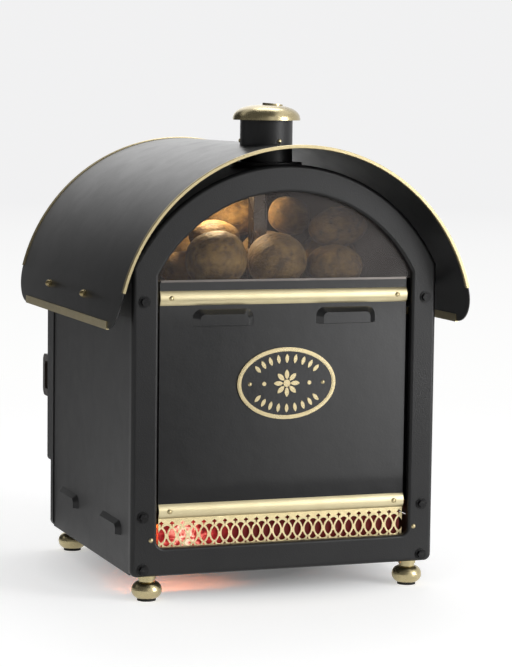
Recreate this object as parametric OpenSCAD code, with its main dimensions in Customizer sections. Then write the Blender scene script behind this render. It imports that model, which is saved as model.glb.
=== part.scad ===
// Countertop baked potato oven: an arched cabinet under a barrel roof, with a lit window,
// a fretwork gallery over a red lamp, and an oven door and a serving hatch at the back.
// Millimetres. The origin is on the table under the middle of the roof, X to the right
// as seen from the front, Y to the back, Z up.

/* [Cabinet] */
// Width over the front frame
body_w = 460; // [440:2:480]
// Depth from the front frame's face to the rear frame's face
body_d = 431; // [410:1:470]
// Height of the side panels above the underside
side_h = 365; // [364:0.5:368]
// Radius of the cabinet's arched top at the frames
arch_r = 256; // [250:1:262]
// Height of the arch's centre above the underside
arch_z = 323; // [319:1:328]
// Thickness of the cabinet's sheet steel
sheet = 1.5; // [1.2:0.1:1.8]
// Width of the flanges that stiffen the panels' edges
flange_w = 24; // [20:1:26]

/* [Front frame] */
// Width of the frame's face beside the opening
frame_face = 38; // [34:1:40]
// Width of the frame's face over the opening
frame_top = 39; // [36:1:41]
// Height of the opening's lower edge above the underside
opening_z = 39.5; // [36:0.5:44]
// Depth of the frame's outer flange
frame_depth = 14; // [10:1:18]
// Radius rolled on the frame's outer edge
frame_roll = 6; // [4:0.5:7]
// Depth of the lip around the opening
lip_depth = 10; // [8:0.5:10]
// Radius rolled on the lip
lip_roll = 4; // [3:0.5:5]
// Radius of the frame's lower outside corners
frame_corner = 10; // [9:1:14]
// Radius of the opening's lower corners
opening_corner = 12; // [9:1:16]
// Sideways place of the frame bolts from the middle
bolt_x = 212.5; // [211:0.5:214]
// Heights of the front frame's bolts above the underside
bolt_z = [10.6, 85.5, 388];
// Heights of the rear frame's bolts above the underside
rear_bolt_z = [10.6, 388];
// Radius of a frame bolt's shank
bolt_r = 3; // [2.5:0.25:3.5]
// Sideways place of the frame's small brass screws
frame_screw_x = 200.6; // [199:0.1:202]
// Height of the frame's small brass screws above the underside
frame_screw_z = 52.3; // [46:0.5:60]

/* [Front panel] */
// Depth of the panel's face behind the frame's face
panel_y = 11; // [10.5:0.5:13]
// Half of the panel's width
panel_half = 187; // [180:0.5:188]
// Depth of the panel's pressed box
panel_box = 12; // [10:0.5:14]
// Height of the panel's upper edge above the underside
panel_top = 414; // [410:0.5:418]
// Height of the panel's lower edge above the underside
panel_low = 88; // [86:0.5:88]
// Width of a front hood louvre
louvre_w = 91; // [70:1:100]
// Height of a front hood louvre
louvre_h = 23; // [18:1:26]
// How far a louvre stands out from its panel
louvre_out = 6.5; // [4:0.5:8]
// Distance of a front louvre's middle from the middle of the panel
louvre_x = 93; // [80:1:100]
// Height of the front louvres' open lower edge above the underside
louvre_z = 352.5; // [345:0.5:355]
// Length of a side louvre
side_louvre_w = 100; // [80:1:110]
// Height of a side louvre
side_louvre_h = 20; // [16:1:24]
// Height of the side louvres' open lower edge above the underside
side_louvre_z = 52; // [40:1:70]
// Distance between the middles of a side's two louvres
side_louvre_gap = 222; // [180:1:240]

/* [Window] */
// Thickness of the window glass
glass_t = 4; // [3:0.5:5]
// Margin of the glass behind the frame
glass_margin = 8; // [6:0.5:9]
// Height of the channel under the glass
channel_h = 3; // [2.5:0.5:6]

/* [Brass trim] */
// Height of a brass strip
strip_h = 20.5; // [16:0.5:22]
// How far a brass strip stands out
strip_out = 4.5; // [3.5:0.25:5]
// Height of the upper strip's middle above the underside
strip_hi_z = 391.6; // [389:0.1:395]
// Height of the lower strip's middle above the underside
strip_lo_z = 90.5; // [90.2:0.1:92]
// Distance of the strips' screws from the middle
strip_screw_x = 171.3; // [160:0.5:176]
// Half of the badge's width
badge_a = 74.6; // [60:0.2:80]
// Half of the badge's height
badge_b = 51.5; // [40:0.5:56]
// Width of the badge's rim
badge_rim = 5.6; // [4:0.2:7]
// How far the badge stands out
badge_out = 3.4; // [2.5:0.1:5]
// Sideways place of the badge
badge_x = 3; // [-5:0.5:5]
// Height of the badge's middle above the underside
badge_z = 267.5; // [255:0.5:280]
// Number of arches in the fretwork gallery
gallery_n = 24; // [20:1:26]
// Distance between two arches of the gallery
gallery_pitch = 15.83; // [14.5:0.01:16]
// Thickness of the gallery plate
gallery_t = 1.2; // [0.8:0.1:2]
// Height of the gallery's lower edge above the underside
gallery_z = 36; // [34:0.5:38]

/* [Roof] */
// Gap between the roof's outside and the cabinet's side
roof_side = 36; // [33:0.5:40]
// Gap between the roof's outside and the top of the arch
roof_rise = 27; // [24:0.5:32]
// Overhang in front of the front frame
roof_front = 49; // [40:1:60]
// Overhang behind the rear frame
roof_rear = 67; // [62:1:80]
// Thickness of the roof sheet
roof_t = 1.5; // [1:0.1:2]
// Height of the roof's lower edges above the underside
skirt_z = 352; // [346:1:356]
// Radius of the roof's lower corners
skirt_corner = 51; // [40:1:60]
// Height of the roof bolts above the underside
roof_bolt_z = 390; // [385:0.5:392]
// Distance between the two roof bolts of a side
roof_bolt_gap = 188; // [150:2:220]
// Width of the edge trim on the roof
trim_w = 8; // [6:0.5:10]
// Thickness of the brass edge trims
trim_t = 1; // [0.8:0.1:1.4]
// Height of the brass strips on the roof's lower edges
hem_h = 10; // [8:0.5:12]

/* [Flue] */
// Outer radius of the flue pipe
flue_r = 38; // [34:0.5:42]
// Wall of the flue pipe
flue_t = 1.5; // [1:0.1:2]
// Distance of the flue's axis behind the front frame's face
flue_y = 98; // [94:1:104]
// Height of the flue pipe's top above the underside
flue_top = 640; // [630:1:660]
// Radius of the cap's rim
cap_r = 49; // [47:0.5:60]
// Height of the cap's dome
cap_h = 22; // [18:0.5:26]
// Radius of the hole in the cap
cap_hole_r = 12; // [8:0.5:14]
// Sideways place of the hole in the cap
cap_hole_x = 9; // [0:0.5:12]
// Width of the rectangular vent duct inside the cabinet
duct_w = 18; // [16:1:24]
// Depth of the vent duct
duct_d = 26; // [20:1:28]
// Sideways place of the vent duct's middle
duct_x = -6; // [-10:1:6]
// Distance of the vent duct's middle behind the flue's axis
duct_back = 18; // [12:1:20]

/* [Feet] */
// Height of the underside above the table
foot_h = 36.5; // [30:0.5:45]
// Radius of a bun foot
foot_r = 22; // [18:0.5:24]
// Radius of a foot's neck
foot_neck_r = 13; // [10:0.5:15]
// Distance of a foot's middle from the side of the frame
foot_inset = 30; // [28:0.5:34]
// Distance of a foot's middle from the front or rear face
foot_y = 21; // [20:0.5:26]
// Thickness of the rubber pads
pad_t = 2.5; // [1.5:0.5:4]

/* [Oven] */
// Inside width of the oven
oven_w = 350; // [330:1:360]
// Inside height of the oven
oven_h = 220; // [200:1:222]
// Height of the oven's floor above the underside
oven_z = 120; // [118:1:124]
// Distance of the oven's front wall behind the front frame's face
oven_y = 70; // [66:1:74]
// Thickness of the oven's liner
liner_t = 1.2; // [0.8:0.1:1.5]
// Thickness of the insulation at the sides, top and bottom
wool_t = 29; // [20:1:29]
// Distance of the baffle behind the oven's front wall
baffle_y = 54; // [52:1:60]
// Number of racks
rack_n = 3; // [2:1:4]
// Radius of the fan's impeller
fan_r = 60; // [50:1:62]
// Depth of the fan's impeller
fan_w = 18; // [14:1:20]
// Radius of the fan's shaft
shaft_r = 4; // [3:0.5:5]
// Running clearance around shafts, spindles and pins
run_gap = 0.05; // [0.03:0.01:0.08]
// Radius of the ring element
element_r = 76; // [74:1:84]
// Height of the display tray's floor above the underside
tray_z = 398; // [394:0.5:400]

/* [Doors] */
// Thickness of the oven door
door_t = 26; // [22:1:30]
// Gap between the rear frame and the doors
door_gap = 2; // [1.6:0.1:3]
// Height of the oven door's lower edge above the underside
door_low = 100; // [98:1:104]
// Height of the oven door's upper edge above the underside
door_high = 360; // [356:1:361]
// Radius of the oven door's pivot pins
door_pin_r = 4; // [3:0.5:4.5]
// Height of the oven door's handle
handle_h = 66; // [60:1:100]
// How far the handle stands out from the door
handle_out = 32; // [28:1:38]
// Width of the handle
handle_w = 20; // [16:1:24]
// Height of the handle's middle above the underside
handle_z = 233; // [200:1:260]
// Thickness of the serving hatch
hatch_t = 16; // [14:1:20]
// Half of the hatch's width
hatch_half = 195; // [190:1:198]
// Height of the hatch's lower edge above the underside
hatch_low = 374; // [372:0.5:376]
// Height of the hatch's pivot above its lower edge
hatch_pivot = 4; // [4:0.5:5]
// Radius of the hatch's pivot pins
hatch_pin_r = 2.5; // [2:0.25:3]

/* [Controls] */
// Half of the control panel's width
control_half = 190; // [186:1:195]
// Height of the controls' middle above the underside
control_z = 49; // [45:1:53]
// Radius of a control knob
knob_r = 19; // [15:0.5:22]
// Depth of a control knob
knob_out = 18; // [14:1:24]
// Sideways place of the thermostat knob
thermostat_x = -130; // [-140:1:-110]
// Sideways place of the timer knob
timer_x = -60; // [-70:1:-45]
// Sideways place of the power switch
power_x = 20; // [10:1:30]
// Sideways place of the light switch
light_x = 60; // [50:1:70]

/* [Hidden] */

$fn = 96;
// Small gap between pieces that sit against each other
seat = 0.2;
// Overlap that joins the parts of one piece
lap = 0.5;
// Length past a face that makes a cut clean
past = 1;

// Planes and heights in the object's frame
zb = foot_h;
yf = (roof_front - roof_rear - body_d) / 2;
yr = yf + body_d;
arch_cz = zb + arch_z;
half = body_w / 2;
skin_x = half - sheet - seat;
skin_r = arch_r - sheet - seat;
seam_z = zb + side_h + seat;
roof_r = half + roof_side;
roof_cz = arch_cz + arch_r + roof_rise - roof_r;
op_half = half - frame_face;
op_r = arch_r - frame_top;
flue_pos = [0, yf + flue_y];

black = "#1c1d1f";
brass = "#c2a561";
steel = "#b9bcc0";
rubber = "#202020";

// Points of an ellipse
function oval(a, b, n = 72) = [for (i = [0 : n - 1]) [a * cos(360 * i / n), b * sin(360 * i / n)]];

// Stands a flat outline of X and Z up at y, d deep towards the back
module upright(y, d) translate([0, y + d, 0]) rotate([90, 0, 0]) linear_extrude(height = d) children();

// Cabinet outline: straight sides, an arc on top and rounded lower corners
module arch_2d(half_w, r, low, corner) {
    intersection() {
        translate([0, arch_cz]) circle(r = r, $fn = 180);
        translate([-half_w, arch_cz - past]) square([2 * half_w, r + 2 * past]);
    }
    translate([-half_w, low + corner]) square([2 * half_w, arch_cz - low - corner]);
    if (corner > 0) {
        translate([corner - half_w, low]) square([2 * (half_w - corner), corner + past]);
        for (s = [-1, 1]) translate([s * (half_w - corner), low + corner]) circle(r = corner);
    }
}

// The part of an arched outline above a height
module cap_2d(half_w, r, low) {
    intersection() {
        translate([0, arch_cz]) circle(r = r, $fn = 180);
        translate([-half_w, low]) square([2 * half_w, arch_cz + r - low + past]);
    }
}

// Rectangle with round corners
module round_rect(w, h, r) {
    square([w - 2 * r, h], center = true);
    square([w, h - 2 * r], center = true);
    for (x = [-1, 1], z = [-1, 1]) translate([x * (w / 2 - r), z * (h / 2 - r)]) circle(r = r);
}

// Cylinders along Y and X
module rod_y(r, y0, y1, x = 0, z = 0) translate([x, y0, z])
    rotate([-90, 0, 0]) cylinder(r = r, h = y1 - y0);
module rod_x(r, x0, x1, y = 0, z = 0) translate([x0, y, z])
    rotate([0, 90, 0]) cylinder(r = r, h = x1 - x0);

// Box from one corner to the other
module box(a, b) translate(a) cube(b - a);

// Section of a panel with its edges bent inwards: outwards along x, depth along y
module channel_2d(bend, depth) {
    for (m = [0, 1]) translate([0, m * depth]) mirror([0, m]) {
        intersection() {
            translate([-bend, bend]) difference() {
                circle(r = bend);
                circle(r = bend - sheet);
            }
            translate([-bend, 0]) square(bend);
        }
        translate([-flange_w, 0]) square([flange_w - bend, sheet]);
    }
    translate([-sheet, bend]) square([sheet, depth - 2 * bend]);
}

// Section from x0 to an edge at x1, d deep, with the edge rounded at the front and the rear;
// a negative front radius flares the edge outwards instead
module rim_2d(x0, x1, d, front, rear) {
    if (front < 0) {
        translate([x0, 0]) square([x1 - x0, d]);
        difference() {
            translate([x1 - lap, 0]) square([lap - front, -front]);
            translate([x1 - front, -front]) circle(r = -front);
        }
    } else {
        translate([x0, 0]) square([x1 - x0 - max(front, rear), d]);
        translate([x0, front]) square([x1 - x0, d - front - rear]);
        if (front > 0) translate([x1 - front, front]) circle(r = front);
        if (rear > 0) translate([x1 - rear, d - rear]) circle(r = rear);
    }
}

// Solid on the cabinet's outline from y to y + d, with its edges rounded as in rim_2d
module arch_solid(half_w, r, low, corner, y, d, front, rear = 0) {
    flat = half_w - corner;
    intersection() {
        union() {
            translate([0, y, low + corner]) linear_extrude(height = arch_cz + r + 10 - low - corner)
                for (m = [0, 1]) mirror([m, 0]) rim_2d(-lap, half_w, d, front, rear);
            if (corner > 0) {
                translate([-flat, y, low]) rotate([0, 90, 0]) linear_extrude(height = 2 * flat)
                    rim_2d(-corner - lap, 0, d, front, rear);
                for (x = [-flat, flat]) translate([x, y, low + corner]) rotate([90, 0, 0])
                    rotate_extrude() mirror([0, 1]) rim_2d(0, corner, d, front, rear);
            }
        }
        union() {
            translate([0, y, arch_cz]) rotate([90, 0, 0]) rotate_extrude($fn = 180)
                mirror([0, 1]) rim_2d(0, r, d, front, rear);
            box([-r - 10, y - past, low - 10], [r + 10, y + d + past, arch_cz]);
        }
    }
}

// Solid of a pressed hood louvre that opens downwards: outside on the plane x and z, out along -y
module hood(w, h, out, slope) {
    hull() {
        translate([0, 0.1, h / 2]) rotate([90, 0, 0]) linear_extrude(height = 0.1)
            hood_2d(w, h, h * 0.55);
        translate([0, 0.1 - out, (h - slope) / 2]) rotate([90, 0, 0]) linear_extrude(height = 0.1)
            hood_2d(w - 2.6 * slope, h - slope, h * 0.3);
    }
}

// Face of a hood: square below, round above
module hood_2d(w, h, r) {
    translate([0, -r / 2]) square([w, h - r], center = true);
    translate([0, h / 2 - r / 2]) square([w - 2 * r, r], center = true);
    for (s = [-1, 1]) translate([s * (w / 2 - r), h / 2 - r]) circle(r = r, $fn = 32);
}

// Shell of a hood louvre
module hood_shell(w, h, out) {
    slope = h * 0.32;
    difference() {
        hood(w, h, out, slope);
        translate([0, sheet, -past]) hood(w - 2 * sheet, h, out, slope);
    }
}

// Round-headed screw along +Y with its seat at the origin
module round_screw(r, shank) {
    head = 0.6 * r;
    ball = (r * r + head * head) / (2 * head);
    rotate([-90, 0, 0]) {
        intersection() {
            translate([0, 0, ball - head]) sphere(r = ball);
            translate([0, 0, -head - past]) cylinder(r = r + past, h = head + past);
        }
        translate([0, 0, -lap]) cylinder(r = screw_r, h = shank + lap);
    }
}

screw_r = 1.5;
screw_head = 3.4;
screw_hole = screw_r + 0.1;

// Underside tray with slots for air and for the red lamp's glow
tray_x = skin_x - sheet - seat;
tray_y0 = yf + frame_roll + seat;
tray_y1 = yr - frame_roll - seat;
tray_floor = zb + sheet + seat;
tray_rim = 20;
slot_n = 14;
slot_pitch = 14;
slot_l = 120;
slot_w = 6;
slot_x = 134;
slot_y = 70;

function foot_places() = [for (x = [-1, 1],
    y = [yf + foot_y, yr - foot_y]) [x * (half - foot_inset), y]];

stud_r = 4;

// Room for the round lower corners of both frames
module corner_cuts() for (x = [-half, half - frame_corner], y = [yf, yr - frame_depth - seat])
    translate([x, y, zb]) cube([frame_corner, frame_depth + seat, frame_corner]);

// Holes of all the frame bolts
module frame_bolt_holes() for (s = [-1, 1]) {
    for (z = bolt_z) rod_y(bolt_r + 0.2, yf - past, yf + bolt_l + past, s * bolt_x, zb + z);
    for (z = rear_bolt_z) rod_y(bolt_r + 0.2, yr - bolt_l - past, yr + past, s * bolt_x, zb + z);
}

module base_tray() color(black) difference() {
    box([-tray_x, tray_y0, tray_floor], [tray_x, tray_y1, tray_floor + tray_rim]);
    box([sheet - tray_x, tray_y0 + sheet, tray_floor + sheet],
        [tray_x - sheet, tray_y1 - sheet, tray_floor + tray_rim + past]);
    corner_cuts();
    frame_bolt_holes();
    for (p = foot_places()) translate([p[0], p[1], tray_floor - past])
        cylinder(r = stud_r + 0.1, h = sheet + 2 * past);
    for (s = [-1, 1], i = [0 : slot_n - 1])
        translate([s * slot_x, yf + slot_y + i * slot_pitch, tray_floor + sheet / 2])
            cube([slot_l, slot_w, 2 * sheet], center = true);
}

// Side panel with turned-in edges and two pressed louvres
side_low = zb + sheet + 0.1;
panel_y0 = yf + sheet + seat;
panel_y1 = yr - sheet - seat;
panel_bend = frame_roll - sheet - seat;
lip_top = 14;
flange_gap = 3;

module side_panel(s) color(black) difference() {
    mirror([s < 0 ? 1 : 0, 0, 0]) {
        translate([skin_x, panel_y0, side_low]) linear_extrude(height = zb + side_h - side_low)
            channel_2d(panel_bend, panel_y1 - panel_y0);
        box([skin_x - lip_top, panel_y0 + flange_gap, zb + side_h - sheet],
            [skin_x - lap, panel_y1 - flange_gap, zb + side_h]);
        for (i = [-1, 1]) translate([skin_x, (yf + yr) / 2 + i * side_louvre_gap / 2,
            zb + side_louvre_z])
            rotate([0, 0, 90]) hood_shell(side_louvre_w, side_louvre_h, louvre_out);
    }
    corner_cuts();
    box([-half, yf, zb], [half, yf + frame_roll, zb + frame_roll + seat]);
    for (i = [-1, 1]) translate([s * (skin_x - sheet / 2), (yf + yr) / 2 + i * side_louvre_gap / 2,
        zb + side_louvre_z + side_louvre_h * 0.35])
            cube([sheet + 0.6, side_louvre_w * 0.8, side_louvre_h * 0.6], center = true);
    frame_bolt_holes();
}
module side_panel_left() side_panel(-1);
module side_panel_right() side_panel(1);

// Sheet that arches over the display
bolt_angle = asin((zb + roof_bolt_z - roof_cz) / roof_r);
roof_mid = (roof_front + roof_rear) / 2;

function roof_bolt_places() = [for (s = [-1, 1], i = [-1, 1]) [s, i * roof_bolt_gap / 2]];

// Turns a radial piece of the roof from +Z to its place
module at_roof_bolt(p) translate([0, p[1], roof_cz])
    rotate([0, p[0] * (90 - bolt_angle), 0]) children();

module barrel_top() color(black) difference() {
    union() {
        difference() {
            arch_solid(skin_x, skin_r, seam_z, 0, panel_y0, panel_y1 - panel_y0, panel_bend,
                panel_bend);
            arch_solid(skin_x - sheet, skin_r - sheet, seam_z - past, 0, panel_y0 + sheet,
                panel_y1 - panel_y0 - 2 * sheet, panel_bend - sheet, panel_bend - sheet);
            upright(yf, body_d) cap_2d(skin_x - flange_w, skin_r - flange_w, seam_z - past);
        }
        for (s = [0, 1]) mirror([s, 0, 0])
            box([skin_x - lip_top, panel_y0 + flange_gap, seam_z],
                [skin_x - lap, panel_y1 - flange_gap, seam_z + sheet]);
    }
    translate([flue_pos[0], flue_pos[1], arch_cz]) cylinder(r = flue_r + 0.3, h = 2 * arch_r);
    for (p = roof_bolt_places()) at_roof_bolt(p) cylinder(r = bolt_r + 0.2, h = roof_r);
    frame_bolt_holes();
}

// Rear frame with the openings of the oven, the hatch and the controls
hatch_r = arch_r - 30;
hatch_op_half = hatch_half - 30;
hatch_op_r = hatch_r - 26;
hatch_op_low = zb + tray_z + 4;
control_low = zb + control_z - 36;
control_h = 72;

module rear_frame() color(black) difference() {
    union() {
        upright(yr - sheet, sheet) arch_2d(half, arch_r, zb, frame_corner);
        upright(yr - frame_depth, frame_depth) difference() {
            arch_2d(half, arch_r, zb, frame_corner);
            arch_2d(half - sheet, arch_r - sheet, zb + sheet, frame_corner - sheet);
        }
    }
    upright(yr - 2 * sheet, 3 * sheet) {
        translate([-oven_w / 2, zb + oven_z]) square([oven_w, oven_h]);
        cap_2d(hatch_op_half, hatch_op_r, hatch_op_low);
        translate([10 - control_half, control_low]) square([2 * control_half - 20, control_h]);
    }
    frame_bolt_holes();
}

// Pressed front frame with a rolled outer edge and a rolled lip
module front_frame() color(black) difference() {
    low = zb + opening_z;
    union() {
        difference() {
            arch_solid(half, arch_r, zb, frame_corner, yf, frame_depth, frame_roll);
            arch_solid(half - sheet, arch_r - sheet, zb + sheet, frame_corner - sheet, yf + sheet,
                frame_depth, frame_roll - sheet);
        }
        upright(yf, sheet) arch_2d(op_half + lip_roll, op_r + lip_roll, low - lip_roll,
            opening_corner + lip_roll);
        arch_solid(op_half + sheet, op_r + sheet, low - sheet, opening_corner + sheet, yf + sheet,
            lip_depth - sheet, sheet - lip_roll);
    }
    arch_solid(op_half, op_r, low, opening_corner, yf, lip_depth + past, -lip_roll);
    frame_bolt_holes();
    for (s = [-1, 1]) rod_y(screw_hole, yf - past, yf + 6, s * frame_screw_x, zb + frame_screw_z);
}

// Hexagon bolt with a washer face, seat at the origin and shank along +Y
bolt_flats = 10;
bolt_head = 4;
washer_r = 8.3;
washer_t = 1.2;
bolt_l = 12;

module hex_bolt(shank) rotate([-90, 0, 0]) {
    translate([0, 0, -washer_t]) cylinder(r = washer_r, h = washer_t);
    translate([0, 0, -washer_t - bolt_head])
        cylinder(r = bolt_flats / sqrt(3), h = bolt_head + lap, $fn = 6);
    translate([0, 0, -lap]) cylinder(r = bolt_r, h = shank + lap);
}

module frame_bolts() color("#141414") for (s = [-1, 1]) {
    for (z = bolt_z) translate([s * bolt_x, yf, zb + z]) hex_bolt(bolt_l);
    for (z = rear_bolt_z) translate([s * bolt_x, yr, zb + z]) rotate([0, 0, 180]) hex_bolt(bolt_l);
}

// Round-headed brass screws of the strips, the frame, the badge and the flue
face_y = yf + panel_y;
badge_screw_x = 55.6;
flue_screw_z = 610;

function strip_screws() = [for (s = [-1, 1], z = [strip_lo_z, strip_hi_z]) [s * strip_screw_x, z]];

module brass_screws() color(brass) {
    for (p = strip_screws()) translate([p[0], face_y - strip_out + 0.6, zb + p[1]])
        round_screw(screw_head, 8);
    for (s = [-1, 1]) {
        translate([s * frame_screw_x, yf, zb + frame_screw_z]) round_screw(screw_head, 8);
        translate([badge_x + s * badge_screw_x, face_y - badge_out * 0.6, zb + badge_z])
            round_screw(screw_head - 0.4, 7);
    }
    for (a = [10, 130, 250]) translate([flue_pos[0], flue_pos[1], zb + flue_screw_z]) rotate([0, 0, a])
        translate([0, -flue_r - 0.15, 0]) round_screw(screw_head, 5);
}

// Front panel: a shallow box standing in the frame's opening, on a flange that spans the cabinet
module front_panel() color(black) difference() {
    union() {
        difference() {
            box([-panel_half, face_y, zb + panel_low + seat],
                [panel_half, face_y + panel_box, zb + panel_top]);
            box([sheet - panel_half, face_y + sheet, zb + panel_low + seat + sheet],
                [panel_half - sheet, face_y + panel_box + past, zb + panel_top - sheet]);
        }
        for (s = [0, 1]) mirror([s, 0, 0])
            box([panel_half - sheet, face_y + panel_box - sheet, zb + panel_low + seat],
                [skin_x - sheet - seat, face_y + panel_box, seam_z - 2 * sheet - 1]);
        for (s = [-1, 1]) translate([s * louvre_x, face_y, zb + louvre_z])
            hood_shell(louvre_w, louvre_h, louvre_out);
    }
    for (s = [-1, 1]) translate([s * louvre_x, face_y + sheet / 2, zb + louvre_z + louvre_h * 0.35])
        cube([louvre_w * 0.8, sheet + 0.6, louvre_h * 0.6], center = true);
    for (p = strip_screws()) rod_y(screw_hole, face_y - past, face_y + 6, p[0], zb + p[1]);
    for (s = [-1, 1]) rod_y(screw_hole, face_y - past, face_y + 6, badge_x + s * badge_screw_x,
        zb + badge_z);
}

// Brass strips of D section with bevelled ends
module brass_strips() color(brass) for (z = [strip_lo_z, strip_hi_z]) difference() {
    bow = (strip_h * strip_h / 4 + strip_out * strip_out) / (2 * strip_out);
    intersection() {
        rod_x(bow, -panel_half, panel_half, face_y - strip_out + bow, zb + z);
        box([-panel_half, face_y - strip_out - past, zb + z - strip_h],
            [panel_half, face_y, zb + z + strip_h]);
    }
    for (s = [0, 1]) mirror([s, 0, 0]) translate([panel_half, face_y, zb + z]) rotate([0, 0, 37])
        translate([0, -20, -strip_h]) cube([20, 40, 2 * strip_h]);
    for (s = [-1, 1]) {
        rod_y(screw_hole, face_y - strip_out - past, face_y + past, s * strip_screw_x, zb + z);
        rod_y(screw_head + 0.5, face_y - strip_out - past, face_y - strip_out + 0.6,
            s * strip_screw_x, zb + z);
    }
}

// Outline of two equal arcs that meet in points above and below
module lens_2d(w, h) {
    r = (h * h / 4 + w * w / 4) / w;
    intersection() {
        translate([r - w / 2, 0]) circle(r = r);
        translate([w / 2 - r, 0]) circle(r = r);
    }
}

// Raised ornament of the badge: a flower between two arcs of leaves, with side sprigs
petals = 8;
leaf_n = 9;
leaf_w = 5.4;
leaf_h = 13;
leaf_step = 13.5;

module badge_ornament() {
    circle(r = 5.2);
    for (i = [0 : petals - 1]) rotate(360 * i / petals) translate([0, 12.6]) lens_2d(6.6, 14);
    for (s = [-1, 1], i = [0 : leaf_n - 1]) {
        a = s * 90 + (i - (leaf_n - 1) / 2) * leaf_step;
        translate([badge_a * 0.73 * cos(a), badge_b * 0.69 * sin(a)])
            rotate(atan2(badge_a * sin(a), badge_b * cos(a)) - 90) lens_2d(leaf_w, leaf_h);
    }
    for (s = [-1, 1]) translate([s * badge_a * 0.46, 0]) circle(r = 3);
}

// Cast plaque with a raised rim, the enamel field lies in its well
module badge_plaque() color(brass) translate([badge_x, 0, zb + badge_z]) difference() {
    union() {
        upright(face_y - badge_out * 0.35, badge_out * 0.35) polygon(oval(badge_a, badge_b));
        upright(face_y - badge_out * 0.8, badge_out * 0.8) difference() {
            polygon(oval(badge_a, badge_b));
            polygon(oval(badge_a - badge_rim, badge_b - badge_rim));
        }
        upright(face_y - badge_out, badge_out) difference() {
            polygon(oval(badge_a - badge_rim * 0.25, badge_b - badge_rim * 0.25));
            polygon(oval(badge_a - badge_rim * 0.75, badge_b - badge_rim * 0.75));
        }
        upright(face_y - badge_out * 0.9, badge_out * 0.9) badge_ornament();
    }
    for (s = [-1, 1]) rod_y(screw_hole, face_y - badge_out - past, face_y + past, s * badge_screw_x, 0);
}

module badge_enamel() color("#0d0d0e") translate([badge_x, 0, zb + badge_z])
    upright(face_y - badge_out * 0.6, badge_out * 0.25 - 0.02) difference() {
        polygon(oval(badge_a - badge_rim - 0.05, badge_b - badge_rim - 0.05));
        badge_ornament();
        for (s = [-1, 1]) translate([s * badge_screw_x, 0]) circle(r = screw_hole);
    }

// One repeat of the fretwork, with the middle of its lens-shaped hole at x = 0
lens_h = 20.5;
lens_w = 10.6;
bar_w = 2.2;
fret_z = 19.7;
module fret_repeat() {
    mid = zb + gallery_z + fret_z;
    translate([0, mid]) lens_2d(lens_w, lens_h);
    translate([0, mid + 17.6]) {
        for (x = [-1.8, 1.8]) translate([x, 0]) circle(r = 1.5, $fn = 24);
        translate([0, 1.6]) circle(r = 1.4, $fn = 24);
        polygon([[-1.5, 0.3], [1.5, 0.3], [0.5, -5], [-0.5, -5]]);
    }
    translate([0, mid - 14.2]) polygon([[-1.9, -1.4], [1.9, -1.4], [0, 2.2]]);
}

// Fan-shaped holes over and under the crossing of two bars
module fret_crossing() {
    mid = zb + gallery_z + fret_z;
    for (fan = [[8.6, 5.8], [-9.8, 5.3]]) difference() {
        translate([0, mid + fan[0]]) circle(r = fan[1], $fn = 32);
        for (s = [-1, 1]) translate([s * gallery_pitch / 2, mid])
            lens_2d(lens_w + 2 * bar_w, lens_h + 3.2 * bar_w);
    }
}

// Pierced brass plate clamped behind the lower strip
gallery_half = panel_half - 0.5;
scallop_r = 5.4;
scallop_out = 3.2;
module gallery() color(brass) upright(face_y, gallery_t) difference() {
    foot = zb + gallery_z;
    union() {
        translate([-gallery_half, foot + scallop_out])
            square([2 * gallery_half, panel_low - gallery_z - scallop_out]);
        intersection() {
            translate([-gallery_half, foot]) square([2 * gallery_half, 2 * scallop_r]);
            for (i = [0 : gallery_n])
                translate([(i - gallery_n / 2) * gallery_pitch, foot + scallop_r])
                    circle(r = scallop_r, $fn = 32);
        }
    }
    for (i = [0 : gallery_n - 1])
        translate([(i - (gallery_n - 1) / 2) * gallery_pitch, 0]) fret_repeat();
    for (i = [1 : gallery_n - 1]) translate([(i - gallery_n / 2) * gallery_pitch, 0]) fret_crossing();
    for (p = strip_screws()) if (p[1] < panel_low) translate([p[0], zb + p[1]]) circle(r = screw_hole);
}

// Red translucent screen between the gallery and the lamp
screen_y = face_y + 5;
screen_t = 1.5;
screen_half = panel_half - 2.5;
module ember_screen() color("#a01c12", 0.8)
    box([-screen_half, screen_y, tray_floor + sheet + seat],
        [screen_half, screen_y + screen_t, zb + panel_low]);

// Lamps: a glass ball and its metal cap along +X
bulb_r = 21;
bulb_cap_r = 12;
bulb_neck = 30;
module bulb(r) {
    sphere(r = r);
    rotate([0, -90, 0]) cylinder(r1 = r * 0.8, r2 = bulb_cap_r * 0.9, h = bulb_neck * 0.85);
    rotate([0, -90, 0]) translate([0, 0, bulb_neck * 0.7])
        cylinder(r = bulb_cap_r, h = bulb_neck * 0.75);
}
ember_pos = [-146, yf + 52, zb + 50];
lamp_pos = [-62, yf + 130, zb + 543];
lamp_r = 15;
module ember_lamp() color("#d8241a") translate(ember_pos) bulb(bulb_r);
module display_lamp() color("#ffe9b8") translate(lamp_pos) rotate([0, 0, -90]) bulb(lamp_r);

// Lamp sockets on their brackets
socket_r = 15;
socket_l = 24;
module socket() {
    x0 = -bulb_neck * 1.45 - 5;
    difference() {
        rod_x(socket_r, x0, x0 + socket_l);
        rod_x(bulb_cap_r + 0.2, x0 + 4.8, x0 + socket_l + past);
    }
}
socket_end = -bulb_neck * 1.45 - 5;
module lamp_holders() color("#e6e2d6") {
    translate(ember_pos) {
        socket();
        translate([socket_end, -10, tray_floor + sheet + seat - ember_pos[2]])
            cube([2, 20, ember_pos[2] - tray_floor - sheet - seat]);
    }
    translate(lamp_pos) rotate([0, 0, -90]) socket();
    intersection() {
        translate(lamp_pos) rotate([0, 0, -90]) translate([socket_end, -10, 0]) cube([2, 20, arch_r]);
        upright(yf, body_d) cap_2d(skin_x, skin_r - sheet - seat, arch_cz);
    }
}

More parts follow.
